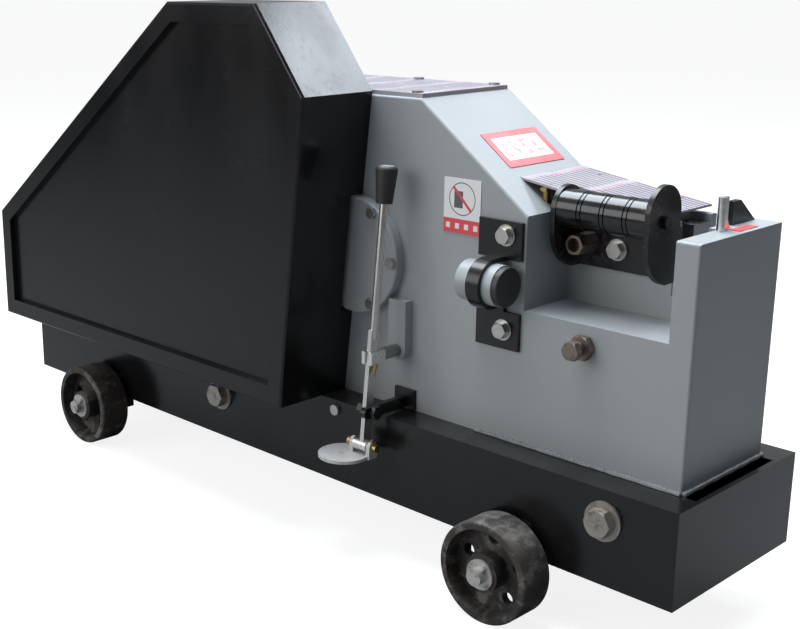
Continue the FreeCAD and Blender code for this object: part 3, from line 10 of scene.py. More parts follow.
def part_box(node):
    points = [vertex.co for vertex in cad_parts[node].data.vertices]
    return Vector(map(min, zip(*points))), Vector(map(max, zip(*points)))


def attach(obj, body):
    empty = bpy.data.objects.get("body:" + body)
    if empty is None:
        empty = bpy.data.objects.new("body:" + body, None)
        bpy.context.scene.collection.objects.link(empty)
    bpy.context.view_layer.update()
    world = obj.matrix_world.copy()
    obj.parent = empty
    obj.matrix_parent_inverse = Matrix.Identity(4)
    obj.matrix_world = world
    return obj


bl_info = {
    "name": "Wheeled Rebar Cutter",
    "version": (1, 0, 0),
    "blender": (4, 5, 0),
    "location": "View3D > Sidebar > Rebar Cutter",
    "description": "Paints, finishes and small fittings of a wheeled rebar cutter, on its studio stage",
    "category": "Object",
}

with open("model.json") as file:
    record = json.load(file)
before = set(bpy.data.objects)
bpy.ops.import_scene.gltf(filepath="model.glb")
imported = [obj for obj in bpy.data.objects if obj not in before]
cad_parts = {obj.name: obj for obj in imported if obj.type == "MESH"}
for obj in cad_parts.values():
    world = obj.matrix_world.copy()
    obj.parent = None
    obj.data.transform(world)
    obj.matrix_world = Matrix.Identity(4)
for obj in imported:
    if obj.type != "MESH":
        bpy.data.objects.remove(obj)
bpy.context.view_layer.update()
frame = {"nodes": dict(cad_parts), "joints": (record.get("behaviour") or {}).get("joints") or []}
MM = 0.001
GUIDE_BOSS = 13.0 * MM         # how far the boss on the body's near side stands out
NEAR_WELD_X = 300.0 * MM       # where the weld bead of the near side starts
GLAND_REACH = 26.0 * MM        # how far the cable gland stands out of the terminal box
SIGN_FOOT = 17.0 * MM          # height of the red foot of the side sign
SIGN_WIDE = 55.0 * MM
SIGN_TALL = 65.0 * MM
RING_OUTSIDE = 19.6 * MM
RING_INSIDE = 18.5 * MM
SLOPE_SIGN_Y = 3.0 * MM        # middle of the sign on the slope
SLOPE_FIELD_HALF = 43.0 * MM   # half of its pale field, across the body
SLOPE_FIELD_LOW = 267.5 * MM   # ends of its pale field, along the slope
SLOPE_FIELD_HIGH = 297.5 * MM
SLOPE_BLOCK_EDGE = 4.0 * MM    # from the field's ends to the blocks
SLOPE_BLOCK_PITCH = 20.5 * MM
CAMERA_PLACE = (1.2071, -1.2383, 0.7219)
CAMERA_FORWARD = (-0.7118, 0.6527, -0.2593)
CAMERA_RIGHT = (0.6773, 0.7357, -0.0075)
LIGHT_AIM = (0.0, 0.0, 0.3)


# ---------------------------------------------------------------- sizes and colours a user may change
def colour(name, description, default):
    return FloatVectorProperty(name=name, description=description, default=default,
                               subtype="COLOR", size=3, min=0.0, max=1.0)


def length(name, description, default):
    return FloatProperty(name=name, description=description, default=default, min=0.0,
                         subtype="DISTANCE", unit="LENGTH", precision=4)


def share(name, description, default):
    return FloatProperty(name=name, description=description, default=default, min=0.0, max=1.0,
                         subtype="FACTOR")


class CutterPaints(bpy.types.PropertyGroup):
    body: colour("Body", "Enamel of the machine body and its covers", (0.330, 0.350, 0.358))
    base: colour("Base and guard", "Gloss enamel of the base and the belt guard", (0.0045, 0.0046, 0.0052))
    bracket: colour("Brackets", "Enamel of the stop, clamp and lever brackets", (0.0055, 0.0055, 0.0062))
    motor: colour("Motor", "Enamel of the motor", (0.075, 0.115, 0.150))
    plate: colour("Printed plates", "Ground of the lid and the ram cover", (0.42, 0.39, 0.44))
    plate_ink: colour("Plate ink", "Dark rules printed on the plates", (0.045, 0.048, 0.060))
    plate_red: colour("Plate red", "Reddish bands printed on the plates", (0.52, 0.20, 0.24))
    sign_red: colour("Sign red", "Border of the signs", (0.72, 0.075, 0.085))
    sign_white: colour("Sign white", "Ground of the signs", (0.80, 0.80, 0.80))
    dust: colour("Dust", "Workshop dust on upward faces", (0.36, 0.34, 0.31))
    body_gloss: share("Body roughness", "Roughness of the body enamel", 0.38)
    base_gloss: share("Base roughness", "Roughness of the base and guard enamel", 0.17)


class CutterMetals(bpy.types.PropertyGroup):
    zinc: colour("Zinc", "Plated fasteners and the lever", (0.68, 0.67, 0.64))
    steel: colour("Steel", "Turned and ground steel", (0.42, 0.42, 0.43))
    oiled: colour("Oiled steel", "Gears and shafts in the body", (0.20, 0.20, 0.205))
    iron: colour("Cast iron", "Wheels", (0.020, 0.019, 0.019))
    rust: colour("Rust", "Rust on raw steel and iron", (0.105, 0.062, 0.042))
    brass: colour("Brass", "Brass and yellow plated pieces", (0.60, 0.42, 0.17))
    galvanised: colour("Galvanised", "Pedal plate", (0.66, 0.65, 0.64))
    raw: colour("Raw steel", "Studs and nuts in the side", (0.30, 0.25, 0.21))
    bright: colour("Bright zinc", "Clevis and lifting pin", (0.86, 0.86, 0.85))
    dull: colour("Dull zinc", "Tie bolts", (0.45, 0.42, 0.38))
    dark: colour("Blackened steel", "Pin of the stop roller", (0.045, 0.045, 0.05))
    lever: colour("Lever", "Drawn bar of the lever", (0.80, 0.79, 0.76))
    turned: colour("Turned iron", "Flywheel, pulley, connecting rod and ram", (0.17, 0.17, 0.175))
    rubber: colour("Rubber", "Belts", (0.012, 0.012, 0.013))


class CutterDetails(bpy.types.PropertyGroup):
    weld_radius: length("Weld bead", "Radius of the weld bead round the foot of the body", 3.2 * MM)
    weld_pitch: length("Weld ripple", "Distance between two ripples of the weld bead", 4.5 * MM)
    screw_radius: length("Box screws", "Head radius of the terminal box screws", 4.0 * MM)
    rule_pitch: length("Rule pitch", "Distance between the rules printed on the plates", 8.6 * MM)
    # depth of the pale disc in the knob's top that is a painted highlight
    highlight_disc_depth: length("Knob highlight disc", "How far the painted highlight disc stands in the knob", 2.0 * MM)
    cotter_radius: length("Cotter radius", "Radius of the cotter tail at its root", 3.4 * MM)
    cotter_length: length("Cotter length", "How far the cotter tail hangs down", 15.0 * MM)
    bead_sides: IntProperty(name="Bead sides", description="Sides of the weld bead's section", default=8, min=5)


class CutterStage(bpy.types.PropertyGroup):
    floor_size: length("Floor", "Side of the floor", 60.0)
    lens: FloatProperty(name="Lens", description="Focal length of the camera", default=57.15, min=1.0,
                        unit="CAMERA")
    key_power: FloatProperty(name="Top light", description="Power of the light above", default=190.0, min=0.0,
                             unit="POWER")
    fill_power: FloatProperty(name="Side light", description="Power of the light on the operator's side",
                              default=48.0, min=0.0, unit="POWER")
    back_power: FloatProperty(name="Back light", description="Power of the light behind the body", default=34.0,
                              min=0.0, unit="POWER")
    ambient: FloatProperty(name="Ambient", description="Strength of the light all round", default=0.38, min=0.0)
    nose_ambient: FloatProperty(name="Nose ambient", description="Share of it that comes from before the nose",
                                default=0.05, min=0.0)


# ---------------------------------------------------------------- node tree helpers
def put(tree, kind, links=None, **values):
    made = tree.nodes.new(kind)
    for key, value in values.items():
        setattr(made, key, value)
    for key, value in (links or {}).items():
        socket = made.inputs[key]
        if isinstance(value, bpy.types.NodeSocket):
            tree.links.new(value, socket)
        else:
            socket.default_value = value
    return made


def maths(tree, operation, a, b=0.0, c=0.0, clamp=False):
    return put(tree, "ShaderNodeMath", {0: a, 1: b, 2: c}, operation=operation, use_clamp=clamp).outputs[0]


def product(tree, first, *others):
    for other in others:
        first = maths(tree, "MULTIPLY", first, other)
    return first


def off_middle(tree, value):
    """Distance of a value between 0 and 1 from a half."""
    return maths(tree, "ABSOLUTE", maths(tree, "SUBTRACT", value, 0.5))


def upward(tree):
    """How far a face looks up: 1 on a floor, 0 on a wall."""
    normal = put(tree, "ShaderNodeNewGeometry").outputs["Normal"]
    return put(tree, "ShaderNodeSeparateXYZ", {0: normal}).outputs[2]


def ramp(tree, value, low, high, out_low=0.0, out_high=1.0):
    made = put(tree, "ShaderNodeMapRange", {
        "Value": value, "From Min": low, "From Max": high, "To Min": out_low, "To Max": out_high},
        interpolation_type="SMOOTHSTEP")
    return made.outputs[0]


def blend_colour(tree, mask, low, high):
    made = put(tree, "ShaderNodeMix", {"Factor": mask}, data_type="RGBA")
    for socket, value in ((made.inputs[6], low), (made.inputs[7], high)):
        if isinstance(value, bpy.types.NodeSocket):
            tree.links.new(value, socket)
        else:
            socket.default_value = (*value, 1.0)
    return made.outputs[2]


def object_space(tree, stretch=(1.0, 1.0, 1.0)):
    place = put(tree, "ShaderNodeTexCoord").outputs["Object"]
    return put(tree, "ShaderNodeMapping", {"Vector": place, "Scale": stretch}).outputs[0]


def noise(tree, place, scale, detail=3.0, rough=0.55):
    return put(tree, "ShaderNodeTexNoise", {
        "Vector": place, "Scale": scale, "Detail": detail, "Roughness": rough}).outputs["Fac"]


def new_group(name, inputs, outputs):
    group = bpy.data.node_groups.new(name, "ShaderNodeTree")
    for label, default in inputs.items():
        kind = "NodeSocketVector" if isinstance(default, tuple) else "NodeSocketFloat"
        socket = group.interface.new_socket(name=label, in_out="INPUT", socket_type=kind)
        socket.default_value = default
    for label in outputs:
        group.interface.new_socket(name=label, in_out="OUTPUT", socket_type="NodeSocketFloat")
    source = group.nodes.new("NodeGroupInput")
    sink = group.nodes.new("NodeGroupOutput")
    return group, source.outputs, sink.inputs


def out(group, sink, **values):
    for key, value in values.items():
        group.links.new(value, sink[key])
    return group


# ---------------------------------------------------------------- effects that several finishes share
def dust_film():
    """Dust that settles on upward faces and in blotches; also soft smears for the gloss."""
    group, source, sink = new_group("dust_film", {"Amount": 0.4, "Blotch Scale": 6.0}, ("Mask", "Smear"))
    place = object_space(group)
    blotch = noise(group, place, source["Blotch Scale"], 5.0, 0.62)
    fine = noise(group, place, 420.0, 2.0)
    settled = ramp(group, upward(group), 0.35, 1.0, 0.12, 1.0)
    film = product(group, ramp(group, blotch, 0.35, 0.72), settled)
    speck = ramp(group, fine, 0.52, 0.68, 0.55, 1.0)
    mask = maths(group, "MULTIPLY", maths(group, "MULTIPLY", film, speck), source["Amount"], clamp=True)
    smear = noise(group, object_space(group, (1.0, 1.0, 0.35)), 9.0, 4.0)
    return out(group, sink, Mask=mask, Smear=ramp(group, smear, 0.3, 0.75))


def enamel_skin():
    """The slight ripple of sprayed enamel over sheet steel: fine orange peel and slow panel waves."""
    group, source, sink = new_group("enamel_skin", {"Peel": 0.5, "Waves": 0.5}, ("Height",))
    place = object_space(group)
    peel = maths(group, "MULTIPLY", noise(group, place, 260.0, 1.0), source["Peel"])
    waves = maths(group, "MULTIPLY", noise(group, place, 3.2, 1.0), source["Waves"])
    return out(group, sink, Height=maths(group, "MULTIPLY_ADD", waves, 14.0, peel))


def scuffs():
    """Thin scratches and small chips."""
    group, source, sink = new_group("scuffs", {"Amount": 0.3}, ("Scratch", "Chip"))
    long_way = noise(group, object_space(group, (14.0, 90.0, 160.0)), 1.6, 4.0)
    across = noise(group, object_space(group, (120.0, 60.0, 12.0)), 1.3, 4.0)
    thin_a = ramp(group, off_middle(group, long_way), 0.0, 0.012, 1.0, 0.0)
    thin_b = ramp(group, off_middle(group, across), 0.0, 0.010, 1.0, 0.0)
    where = ramp(group, noise(group, object_space(group), 11.0, 3.0), 0.56, 0.70)
    scratch = product(group, maths(group, "MAXIMUM", thin_a, thin_b), where, source["Amount"])
    chip_noise = noise(group, object_space(group), 95.0, 6.0, 0.7)
    chip_zone = noise(group, object_space(group), 7.0, 2.0)
    edge = maths(group, "MULTIPLY_ADD", chip_zone, 0.35, maths(group, "MULTIPLY", chip_noise, 0.65))
    chip = maths(group, "MULTIPLY", ramp(group, edge, 0.585, 0.61), source["Amount"])
    return out(group, sink, Scratch=scratch, Chip=chip)


def rust_bloom():
    """Rust that starts in blotches and pits."""
    group, source, sink = new_group("rust_bloom", {"Amount": 0.5, "Scale": 40.0}, ("Mask", "Pits"))
    place = object_space(group)
    blotch = noise(group, place, source["Scale"], 7.0, 0.66)
    edge = maths(group, "SUBTRACT", 0.78, maths(group, "MULTIPLY", source["Amount"], 0.5))
    mask = ramp(group, maths(group, "SUBTRACT", blotch, edge), -0.10, 0.12)
    pits = noise(group, place, 320.0, 4.0)
    return out(group, sink, Mask=mask, Pits=maths(group, "MULTIPLY", mask, pits))


def tool_marks():
    """Fine parallel marks left by turning, drawing or grinding, along the stretched direction."""
    group, source, sink = new_group("tool_marks", {"Direction": (1.0, 1.0, 1.0), "Scale": 90.0},
                                    ("Lines", "Patches"))
    place = put(group, "ShaderNodeTexCoord").outputs["Object"]
    turned = put(group, "ShaderNodeVectorMath", {0: place, 1: source["Direction"]}, operation="MULTIPLY")
    lines = noise(group, turned.outputs[0], source["Scale"], 4.0, 0.7)
    patches = noise(group, place, 38.0, 3.0)
    return out(group, sink, Lines=lines, Patches=ramp(group, patches, 0.3, 0.7))


def ruled_print():
    """Rows of short printed rules along X, with gaps between their columns."""
    group, source, sink = new_group("ruled_print", {"Pitch": 0.0095, "Run": 0.042}, ("Rules", "Bands"))
    place = put(group, "ShaderNodeSeparateXYZ", {0: put(group, "ShaderNodeTexCoord").outputs["Object"]})
    row = maths(group, "FRACT", maths(group, "DIVIDE", place.outputs[1], source["Pitch"]))
    line = ramp(group, off_middle(group, row), 0.19, 0.27, 1.0, 0.0)
    shift = noise(group, object_space(group, (0.0, 26.0, 0.0)), 1.0, 0.0)
    start = maths(group, "MULTIPLY_ADD", shift, 0.012, place.outputs[0])
    along = maths(group, "FRACT", maths(group, "DIVIDE", start, source["Run"]))
    column = ramp(group, off_middle(group, along), 0.40, 0.43, 1.0, 0.0)
    worn = ramp(group, noise(group, object_space(group), 70.0, 4.0), 0.26, 0.40)
    top = ramp(group, upward(group), 0.5, 0.6)
    rules = product(group, line, column, worn, top)
    band = ramp(group, along, 0.02, 0.16, 1.0, 0.0)
    blotch = ramp(group, noise(group, object_space(group), 45.0, 4.0), 0.42, 0.58)
    bands = product(group, band, blotch, top)
    return out(group, sink, Rules=rules, Bands=bands)


EFFECTS = {}


def effect(tree, name, **values):
    if name not in EFFECTS:
        EFFECTS[name] = EFFECT_MAKERS[name]()
    made = put(tree, "ShaderNodeGroup", node_tree=EFFECTS[name])
    for key, value in values.items():
        made.inputs[key.replace("_", " ")].default_value = value
    return made.outputs


EFFECT_MAKERS = {"dust_film": dust_film, "enamel_skin": enamel_skin, "scuffs": scuffs,
                 "rust_bloom": rust_bloom, "tool_marks": tool_marks, "ruled_print": ruled_print}


# ---------------------------------------------------------------- finishes
def blank(name):
    material = bpy.data.materials.new(name)
    material.use_nodes = True
    tree = material.node_tree
    return material, tree, tree.nodes["Principled BSDF"]


def bump(tree, shader, height, strength, distance):
    made = put(tree, "ShaderNodeBump", {"Height": height, "Strength": strength, "Distance": distance})
    tree.links.new(made.outputs[0], shader.inputs["Normal"])


def wire(tree, shader, **sockets):
    for key, value in sockets.items():
        tree.links.new(value, shader.inputs[key.replace("_", " ")])


def enamel(name, paint, under, dust, roughness, dusty=0.5, worn=0.3, peel=0.5, waves=0.2, shine=0.5):
    """Sprayed enamel: dust on top, scratches and chips down to primer, and a rippled skin."""
    material, tree, shader = blank(name)
    film = effect(tree, "dust_film", Amount=dusty, Blotch_Scale=6.0)
    marks = effect(tree, "scuffs", Amount=worn)
    shade = blend_colour(tree, maths(tree, "MULTIPLY", film["Smear"], 0.22), paint,
                         tuple(min(1.0, 1.25 * c + 0.004) for c in paint))
    scratched = blend_colour(tree, maths(tree, "MULTIPLY", marks["Scratch"], 0.55), shade, under)
    chipped = blend_colour(tree, marks["Chip"], scratched, under)
    dusted = blend_colour(tree, film["Mask"], chipped, dust)
    rough = maths(tree, "MULTIPLY_ADD", film["Smear"], 0.12, roughness)
    rougher = maths(tree, "MULTIPLY_ADD", film["Mask"], 0.45, rough, clamp=True)
    wire(tree, shader, Base_Color=dusted, Roughness=rougher)
    shader.inputs["Specular IOR Level"].default_value = shine
    skin = effect(tree, "enamel_skin", Peel=peel, Waves=waves)["Height"]
    bump(tree, shader, maths(tree, "SUBTRACT", skin, marks["Chip"]), 0.35, 0.0004)
    return material


def bare_metal(name, metal, rust, roughness, rusty=0.2, lines=(1.0, 1.0, 1.0), scale=90.0, metallic=1.0,
               rust_scale=40.0, contrast=0.35):
    """Worked steel or brass with tool marks, dull patches and rust where it has been wet."""
    material, tree, shader = blank(name)
    marks = effect(tree, "tool_marks", Direction=lines, Scale=scale)
    bloom = effect(tree, "rust_bloom", Amount=rusty, Scale=rust_scale)
    dark = tuple(c * (1.0 - contrast) for c in metal)
    lined = blend_colour(tree, marks["Lines"], dark, metal)
    patched = blend_colour(tree, maths(tree, "MULTIPLY", marks["Patches"], contrast), lined, dark)
    wire(tree, shader, Base_Color=blend_colour(tree, bloom["Mask"], patched, rust))
    rough = maths(tree, "MULTIPLY_ADD", marks["Lines"], 0.22, roughness - 0.08)
    rougher = maths(tree, "MULTIPLY_ADD", bloom["Mask"], 0.4, rough, clamp=True)
    bare = maths(tree, "SUBTRACT", 1.0, maths(tree, "MULTIPLY", bloom["Mask"], 0.85))
    wire(tree, shader, Roughness=rougher, Metallic=maths(tree, "MULTIPLY", bare, metallic))
    height = maths(tree, "MULTIPLY_ADD", bloom["Pits"], 1.6, marks["Lines"])
    bump(tree, shader, height, 0.30, 0.0003)
    return material


def cast_iron(name, iron, rust, dust, worn_edge):
    """Sand-cast iron, rust bloomed, with the tread rubbed pale."""
    material, tree, shader = blank(name)
    bloom = effect(tree, "rust_bloom", Amount=0.50, Scale=30.0)
    film = effect(tree, "dust_film", Amount=0.5, Blotch_Scale=18.0)
    rusted = blend_colour(tree, maths(tree, "MULTIPLY", bloom["Mask"], 0.34), iron, rust)
    rub = ramp(tree, noise(tree, object_space(tree, (1.0, 0.6, 1.0)), 46.0, 6.0, 0.7), 0.50, 0.68)
    rubbed = blend_colour(tree, maths(tree, "MULTIPLY", rub, worn_edge), rusted, dust)
    wire(tree, shader, Base_Color=blend_colour(tree, film["Mask"], rubbed, dust))
    wire(tree, shader, Roughness=maths(tree, "MULTIPLY_ADD", bloom["Mask"], 0.22, 0.58))
    shader.inputs["Metallic"].default_value = 0.0
    grain = noise(tree, object_space(tree), 210.0, 5.0, 0.65)
    bump(tree, shader, maths(tree, "MULTIPLY_ADD", bloom["Pits"], 1.2, grain), 0.55, 0.0007)
    return material


def printed_plate(name, ground, ink, red, dust, pitch):
    """Thin pale plate printed with plain rules and reddish bands."""
    material, tree, shader = blank(name)
    rows = effect(tree, "ruled_print", Pitch=pitch, Run=0.066)
    film = effect(tree, "dust_film", Amount=0.45, Blotch_Scale=12.0)
    marks = effect(tree, "scuffs", Amount=0.5)
    printed = blend_colour(tree, maths(tree, "MULTIPLY", rows["Bands"], 0.75), ground, red)
    ruled = blend_colour(tree, maths(tree, "MULTIPLY", rows["Rules"], 0.92), printed, ink)
    scratched = blend_colour(tree, marks["Scratch"], ruled, ground)
    wire(tree, shader, Base_Color=blend_colour(tree, film["Mask"], scratched, dust))
    wire(tree, shader, Roughness=maths(tree, "MULTIPLY_ADD", film["Smear"], 0.15, 0.30))
    bump(tree, shader, effect(tree, "enamel_skin", Peel=0.4, Waves=0.3)["Height"], 0.3, 0.0004)
    return material


def band_mask(tree, value, low, high, soft=0.0006):
    inside = ramp(tree, value, low - soft, low + soft)
    outside = ramp(tree, value, high - soft, high + soft)
    return maths(tree, "MULTIPLY", inside, maths(tree, "SUBTRACT", 1.0, outside))


def signs(name, white, red, ink, dust):
    """The two signs and the red mark: plain fields, a ring and a border, with no lettering."""
    material, tree, shader = blank(name)
    place = put(tree, "ShaderNodeSeparateXYZ", {0: put(tree, "ShaderNodeTexCoord").outputs["Object"]}).outputs
    low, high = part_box("label_plates")
    side_left, side_right = low.x, low.x + SIGN_WIDE
    side_low, side_high = low.z, low.z + SIGN_TALL
    on_side = ramp(tree, place[1], low.y + 0.004, low.y + 0.006, 1.0, 0.0)
    on_nose = ramp(tree, place[0], high.x - 0.03, high.x - 0.028)
    # side sign: red foot with four pale dots, and a red ring with a bar above it
    foot_top = side_low + SIGN_FOOT
    foot = ramp(tree, place[2], foot_top - 0.0004, foot_top + 0.0004, 1.0, 0.0)
    centre_x, centre_z = (side_left + side_right) / 2, (foot_top + side_high) / 2
    dx = maths(tree, "SUBTRACT", place[0], centre_x)
    dz = maths(tree, "SUBTRACT", place[2], centre_z)
    away = maths(tree, "SQRT", maths(tree, "ADD", product(tree, dx, dx), product(tree, dz, dz)))
    ring = band_mask(tree, away, RING_INSIDE, RING_OUTSIDE, 0.0003)
    slant = maths(tree, "ABSOLUTE", maths(tree, "ADD", dx, dz))
    in_ring = ramp(tree, away, RING_INSIDE, RING_INSIDE + 0.0003, 1.0, 0.0)
    bar = product(tree, ramp(tree, slant, 0.0022, 0.0028, 1.0, 0.0), in_ring)
    block_x = band_mask(tree, dx, -0.012, 0.001, 0.0004)
    block = product(tree, block_x, band_mask(tree, dz, -0.011, 0.009, 0.0004))
    quarter = maths(tree, "DIVIDE", maths(tree, "SUBTRACT", place[0], side_left), SIGN_WIDE / 4)
    step = off_middle(tree, maths(tree, "FRACT", quarter))
    dot_z = maths(tree, "ABSOLUTE", maths(tree, "SUBTRACT", place[2], side_low + 0.0085))
    dots = product(tree, ramp(tree, step, 0.20, 0.24, 1.0, 0.0), ramp(tree, dot_z, 0.003, 0.0035, 1.0, 0.0))
    field = blend_colour(tree, ring, white, ink)
    field = blend_colour(tree, maths(tree, "MULTIPLY", block, 0.92), field, ink)
    field = blend_colour(tree, bar, field, red)
    foot_field = blend_colour(tree, dots, red, white)
    side = blend_colour(tree, foot, field, foot_field)
    # slope sign: red border round a pale field with soft red blocks
    edge_y = maths(tree, "ABSOLUTE", maths(tree, "SUBTRACT", place[1], SLOPE_SIGN_Y))
    in_y = ramp(tree, edge_y, SLOPE_FIELD_HALF, SLOPE_FIELD_HALF + 0.0006, 1.0, 0.0)
    in_x = band_mask(tree, place[0], SLOPE_FIELD_LOW, SLOPE_FIELD_HIGH, 0.0004)
    cell = maths(tree, "FRACT", maths(tree, "DIVIDE", place[1], SLOPE_BLOCK_PITCH))
    block_rows = band_mask(tree, place[0], SLOPE_FIELD_LOW + SLOPE_BLOCK_EDGE,
                           SLOPE_FIELD_HIGH - SLOPE_BLOCK_EDGE, 0.0005)
    blocks = product(tree, band_mask(tree, cell, 0.22, 0.80, 0.02), block_rows)
    blotch = ramp(tree, noise(tree, object_space(tree), 160.0, 2.0), 0.44, 0.56)
    inner = blend_colour(tree, product(tree, blocks, blotch, 0.7), white, tuple(0.7 * c + 0.02 for c in red))
    slope = blend_colour(tree, product(tree, in_y, in_x), red, inner)
    both = blend_colour(tree, on_side, slope, side)
    every = blend_colour(tree, on_nose, both, red)
    film = effect(tree, "dust_film", Amount=0.35, Blotch_Scale=30.0)
    wire(tree, shader, Base_Color=blend_colour(tree, film["Mask"], every, dust))
    wire(tree, shader, Roughness=maths(tree, "MULTIPLY_ADD", film["Smear"], 0.15, 0.32))
    bump(tree, shader, effect(tree, "enamel_skin", Peel=0.3, Waves=0.0)["Height"], 0.2, 0.0002)
    return material


def moulded(name, tint, roughness, grain_scale, dust, dusty):
    """Moulded rubber or plastic with a fine grain and handled patches."""
    material, tree, shader = blank(name)
    film = effect(tree, "dust_film", Amount=dusty, Blotch_Scale=25.0)
    grain = noise(tree, object_space(tree), grain_scale, 3.0)
    base = blend_colour(tree, grain, tint, tuple(min(1.0, 1.8 * c + 0.004) for c in tint))
    wire(tree, shader, Base_Color=blend_colour(tree, film["Mask"], base, dust))
    wire(tree, shader, Roughness=maths(tree, "MULTIPLY_ADD", film["Smear"], 0.18, roughness))
    bump(tree, shader, grain, 0.35, 0.0003)
    return material


def dress(material, *names):
    for name in names:
        slots = frame["nodes"][name].data.materials
        slots.clear()
        slots.append(material)


def settings():
    scene = bpy.context.scene
    return scene.cutter_paints, scene.cutter_metals, scene.cutter_details, scene.cutter_stage


def tup(value):
    return tuple(value)


# ---------------------------------------------------------------- small fittings made here
def finish_piece(shape, name, material, body):
    bmesh.ops.remove_doubles(shape, verts=shape.verts, dist=1e-6)
    bmesh.ops.recalc_face_normals(shape, faces=shape.faces)
    mesh = bpy.data.meshes.new(name)
    shape.to_mesh(mesh)
    shape.free()
    piece = bpy.data.objects.new(name, mesh)
    bpy.context.scene.collection.objects.link(piece)
    mesh.materials.append(material)
    mesh.shade_smooth()
    mesh.set_sharp_from_angle(angle=math.radians(35))
    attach(piece, body)
    return piece


def bead(shape, start, end, radius, pitch, sides):
    """One weld bead from start to end: a rippled tube with closed ends."""
    run = end - start
    turn = Vector((0.0, 0.0, 1.0)).rotation_difference(run).to_matrix().to_4x4()
    rings = max(4, int(run.length / pitch * 4))
    ring = bmesh.ops.create_circle(shape, cap_ends=True, segments=sides, radius=radius * 0.35,
                                   matrix=Matrix.Translation(start) @ turn)["verts"]
    edges = [e for e in shape.edges if all(v in ring for v in e.verts)]
    wide = radius * 0.35
    for k in range(1, rings + 1):
        share_along = k / rings
        ripple = abs(math.sin(math.pi * share_along * run.length / pitch))
        wander = 0.12 * math.sin(37.0 * share_along) + 0.08 * math.sin(91.0 * share_along)
        goal = radius * (0.80 + 0.20 * ripple + wander) if k < rings else radius * 0.35
        step = bmesh.ops.extrude_edge_only(shape, edges=edges)["geom"]
        verts = [g for g in step if isinstance(g, bmesh.types.BMVert)]
        edges = [g for g in step if isinstance(g, bmesh.types.BMEdge)]
        bmesh.ops.translate(shape, verts=verts, vec=run / rings)
        middle = start + run * share_along
        bmesh.ops.scale(shape, verts=verts, vec=(goal / wide,) * 3, space=Matrix.Translation(-middle))
        wide = goal
    bmesh.ops.contextual_create(shape, geom=edges)


def disc(shape, centre, radius, depth, turn=Matrix.Identity(4), sides=20, top=0.75):
    """A low round head standing on its centre, along the turned Z."""
    place = Matrix.Translation(centre) @ turn @ Matrix.Translation((0.0, 0.0, depth / 2))
    made = bmesh.ops.create_cone(shape, cap_ends=True, segments=sides, radius1=radius, radius2=radius * top,
                                 depth=depth, matrix=place)
    return made["verts"]


class CUTTER_OT_enamels(bpy.types.Operator):
    """Paint the body, base, guard, motor and brackets"""
    bl_idname = "cutter.enamels"
    bl_label = "Enamelled Pieces"

    def execute(self, context):
        paints, _, _, _ = settings()
        dust = tup(paints.dust)
        body = enamel("body_enamel", tup(paints.body), (0.20, 0.17, 0.14), dust, paints.body_gloss,
                      dusty=0.16, worn=0.06, peel=0.5, waves=0.10)
        base = enamel("base_enamel", tup(paints.base), (0.085, 0.060, 0.045), dust, paints.base_gloss,
                      dusty=0.12, worn=0.10, peel=0.35, waves=0.18, shine=0.42)
        guard = enamel("guard_enamel", tup(paints.base), (0.050, 0.050, 0.055), dust, paints.base_gloss,
                       dusty=0.04, worn=0.12, peel=0.25, waves=0.55, shine=0.40)
        bracket = enamel("bracket_enamel", tup(paints.bracket), (0.12, 0.09, 0.07), dust, 0.24,
                         dusty=0.10, worn=0.35, peel=0.9, waves=0.1)
        gloss = enamel("roller_enamel", tup(paints.bracket), (0.05, 0.05, 0.05), dust, 0.15,
                       dusty=0.05, worn=0.1, peel=0.2, waves=0.0, shine=0.6)
        motor = enamel("motor_enamel", tup(paints.motor), (0.10, 0.09, 0.08), dust, 0.42, dusty=0.5, worn=0.4,
                       peel=0.9, waves=0.1)
        dress(body, "machine_body", "crank_cover", "bearing_caps", "canister")
        dress(base, "base_frame", "motor_plate")
        dress(guard, "belt_guard")
        dress(bracket, "stop_bracket", "clamp_strap", "lever_bracket", "guide_horn")
        dress(gloss, "stop_roller")
        dress(motor, "motor_housing", "motor_shields", "fan_cover", "terminal_box")
        return {"FINISHED"}


class CUTTER_OT_prints(bpy.types.Operator):
    """Print the lid, the ram cover and the plain signs"""
    bl_idname = "cutter.prints"
    bl_label = "Printed Plates"

    def execute(self, context):
        paints, _, details, _ = settings()
        dust = tup(paints.dust)
        plate = printed_plate("ruled_plate", tup(paints.plate), tup(paints.plate_ink), tup(paints.plate_red),
                              dust, details.rule_pitch)
        dress(plate, "ram_cover", "top_lid")
        dress(signs("plain_signs", tup(paints.sign_white), tup(paints.sign_red), tup(paints.plate_ink), dust),
              "label_plates")
        return {"FINISHED"}


class CUTTER_OT_wheels(bpy.types.Operator):
    """Finish the cast wheels, their axles and retainers"""
    bl_idname = "cutter.wheels"
    bl_label = "Wheels"

    def execute(self, context):
        paints, metals, _, _ = settings()
        iron = cast_iron("wheel_iron", tup(metals.iron), tup(metals.rust), tup(paints.dust), 0.42)
        dress(iron, "front_wheel_near", "front_wheel_far", "rear_wheel_near", "rear_wheel_far")
        dress(bare_metal("axle_steel", tup(metals.zinc), tup(metals.rust), 0.42, rusty=0.42,
                         lines=(1.0, 0.1, 1.0), metallic=0.75), "wheel_axles", "axle_retainers")
        return {"FINISHED"}


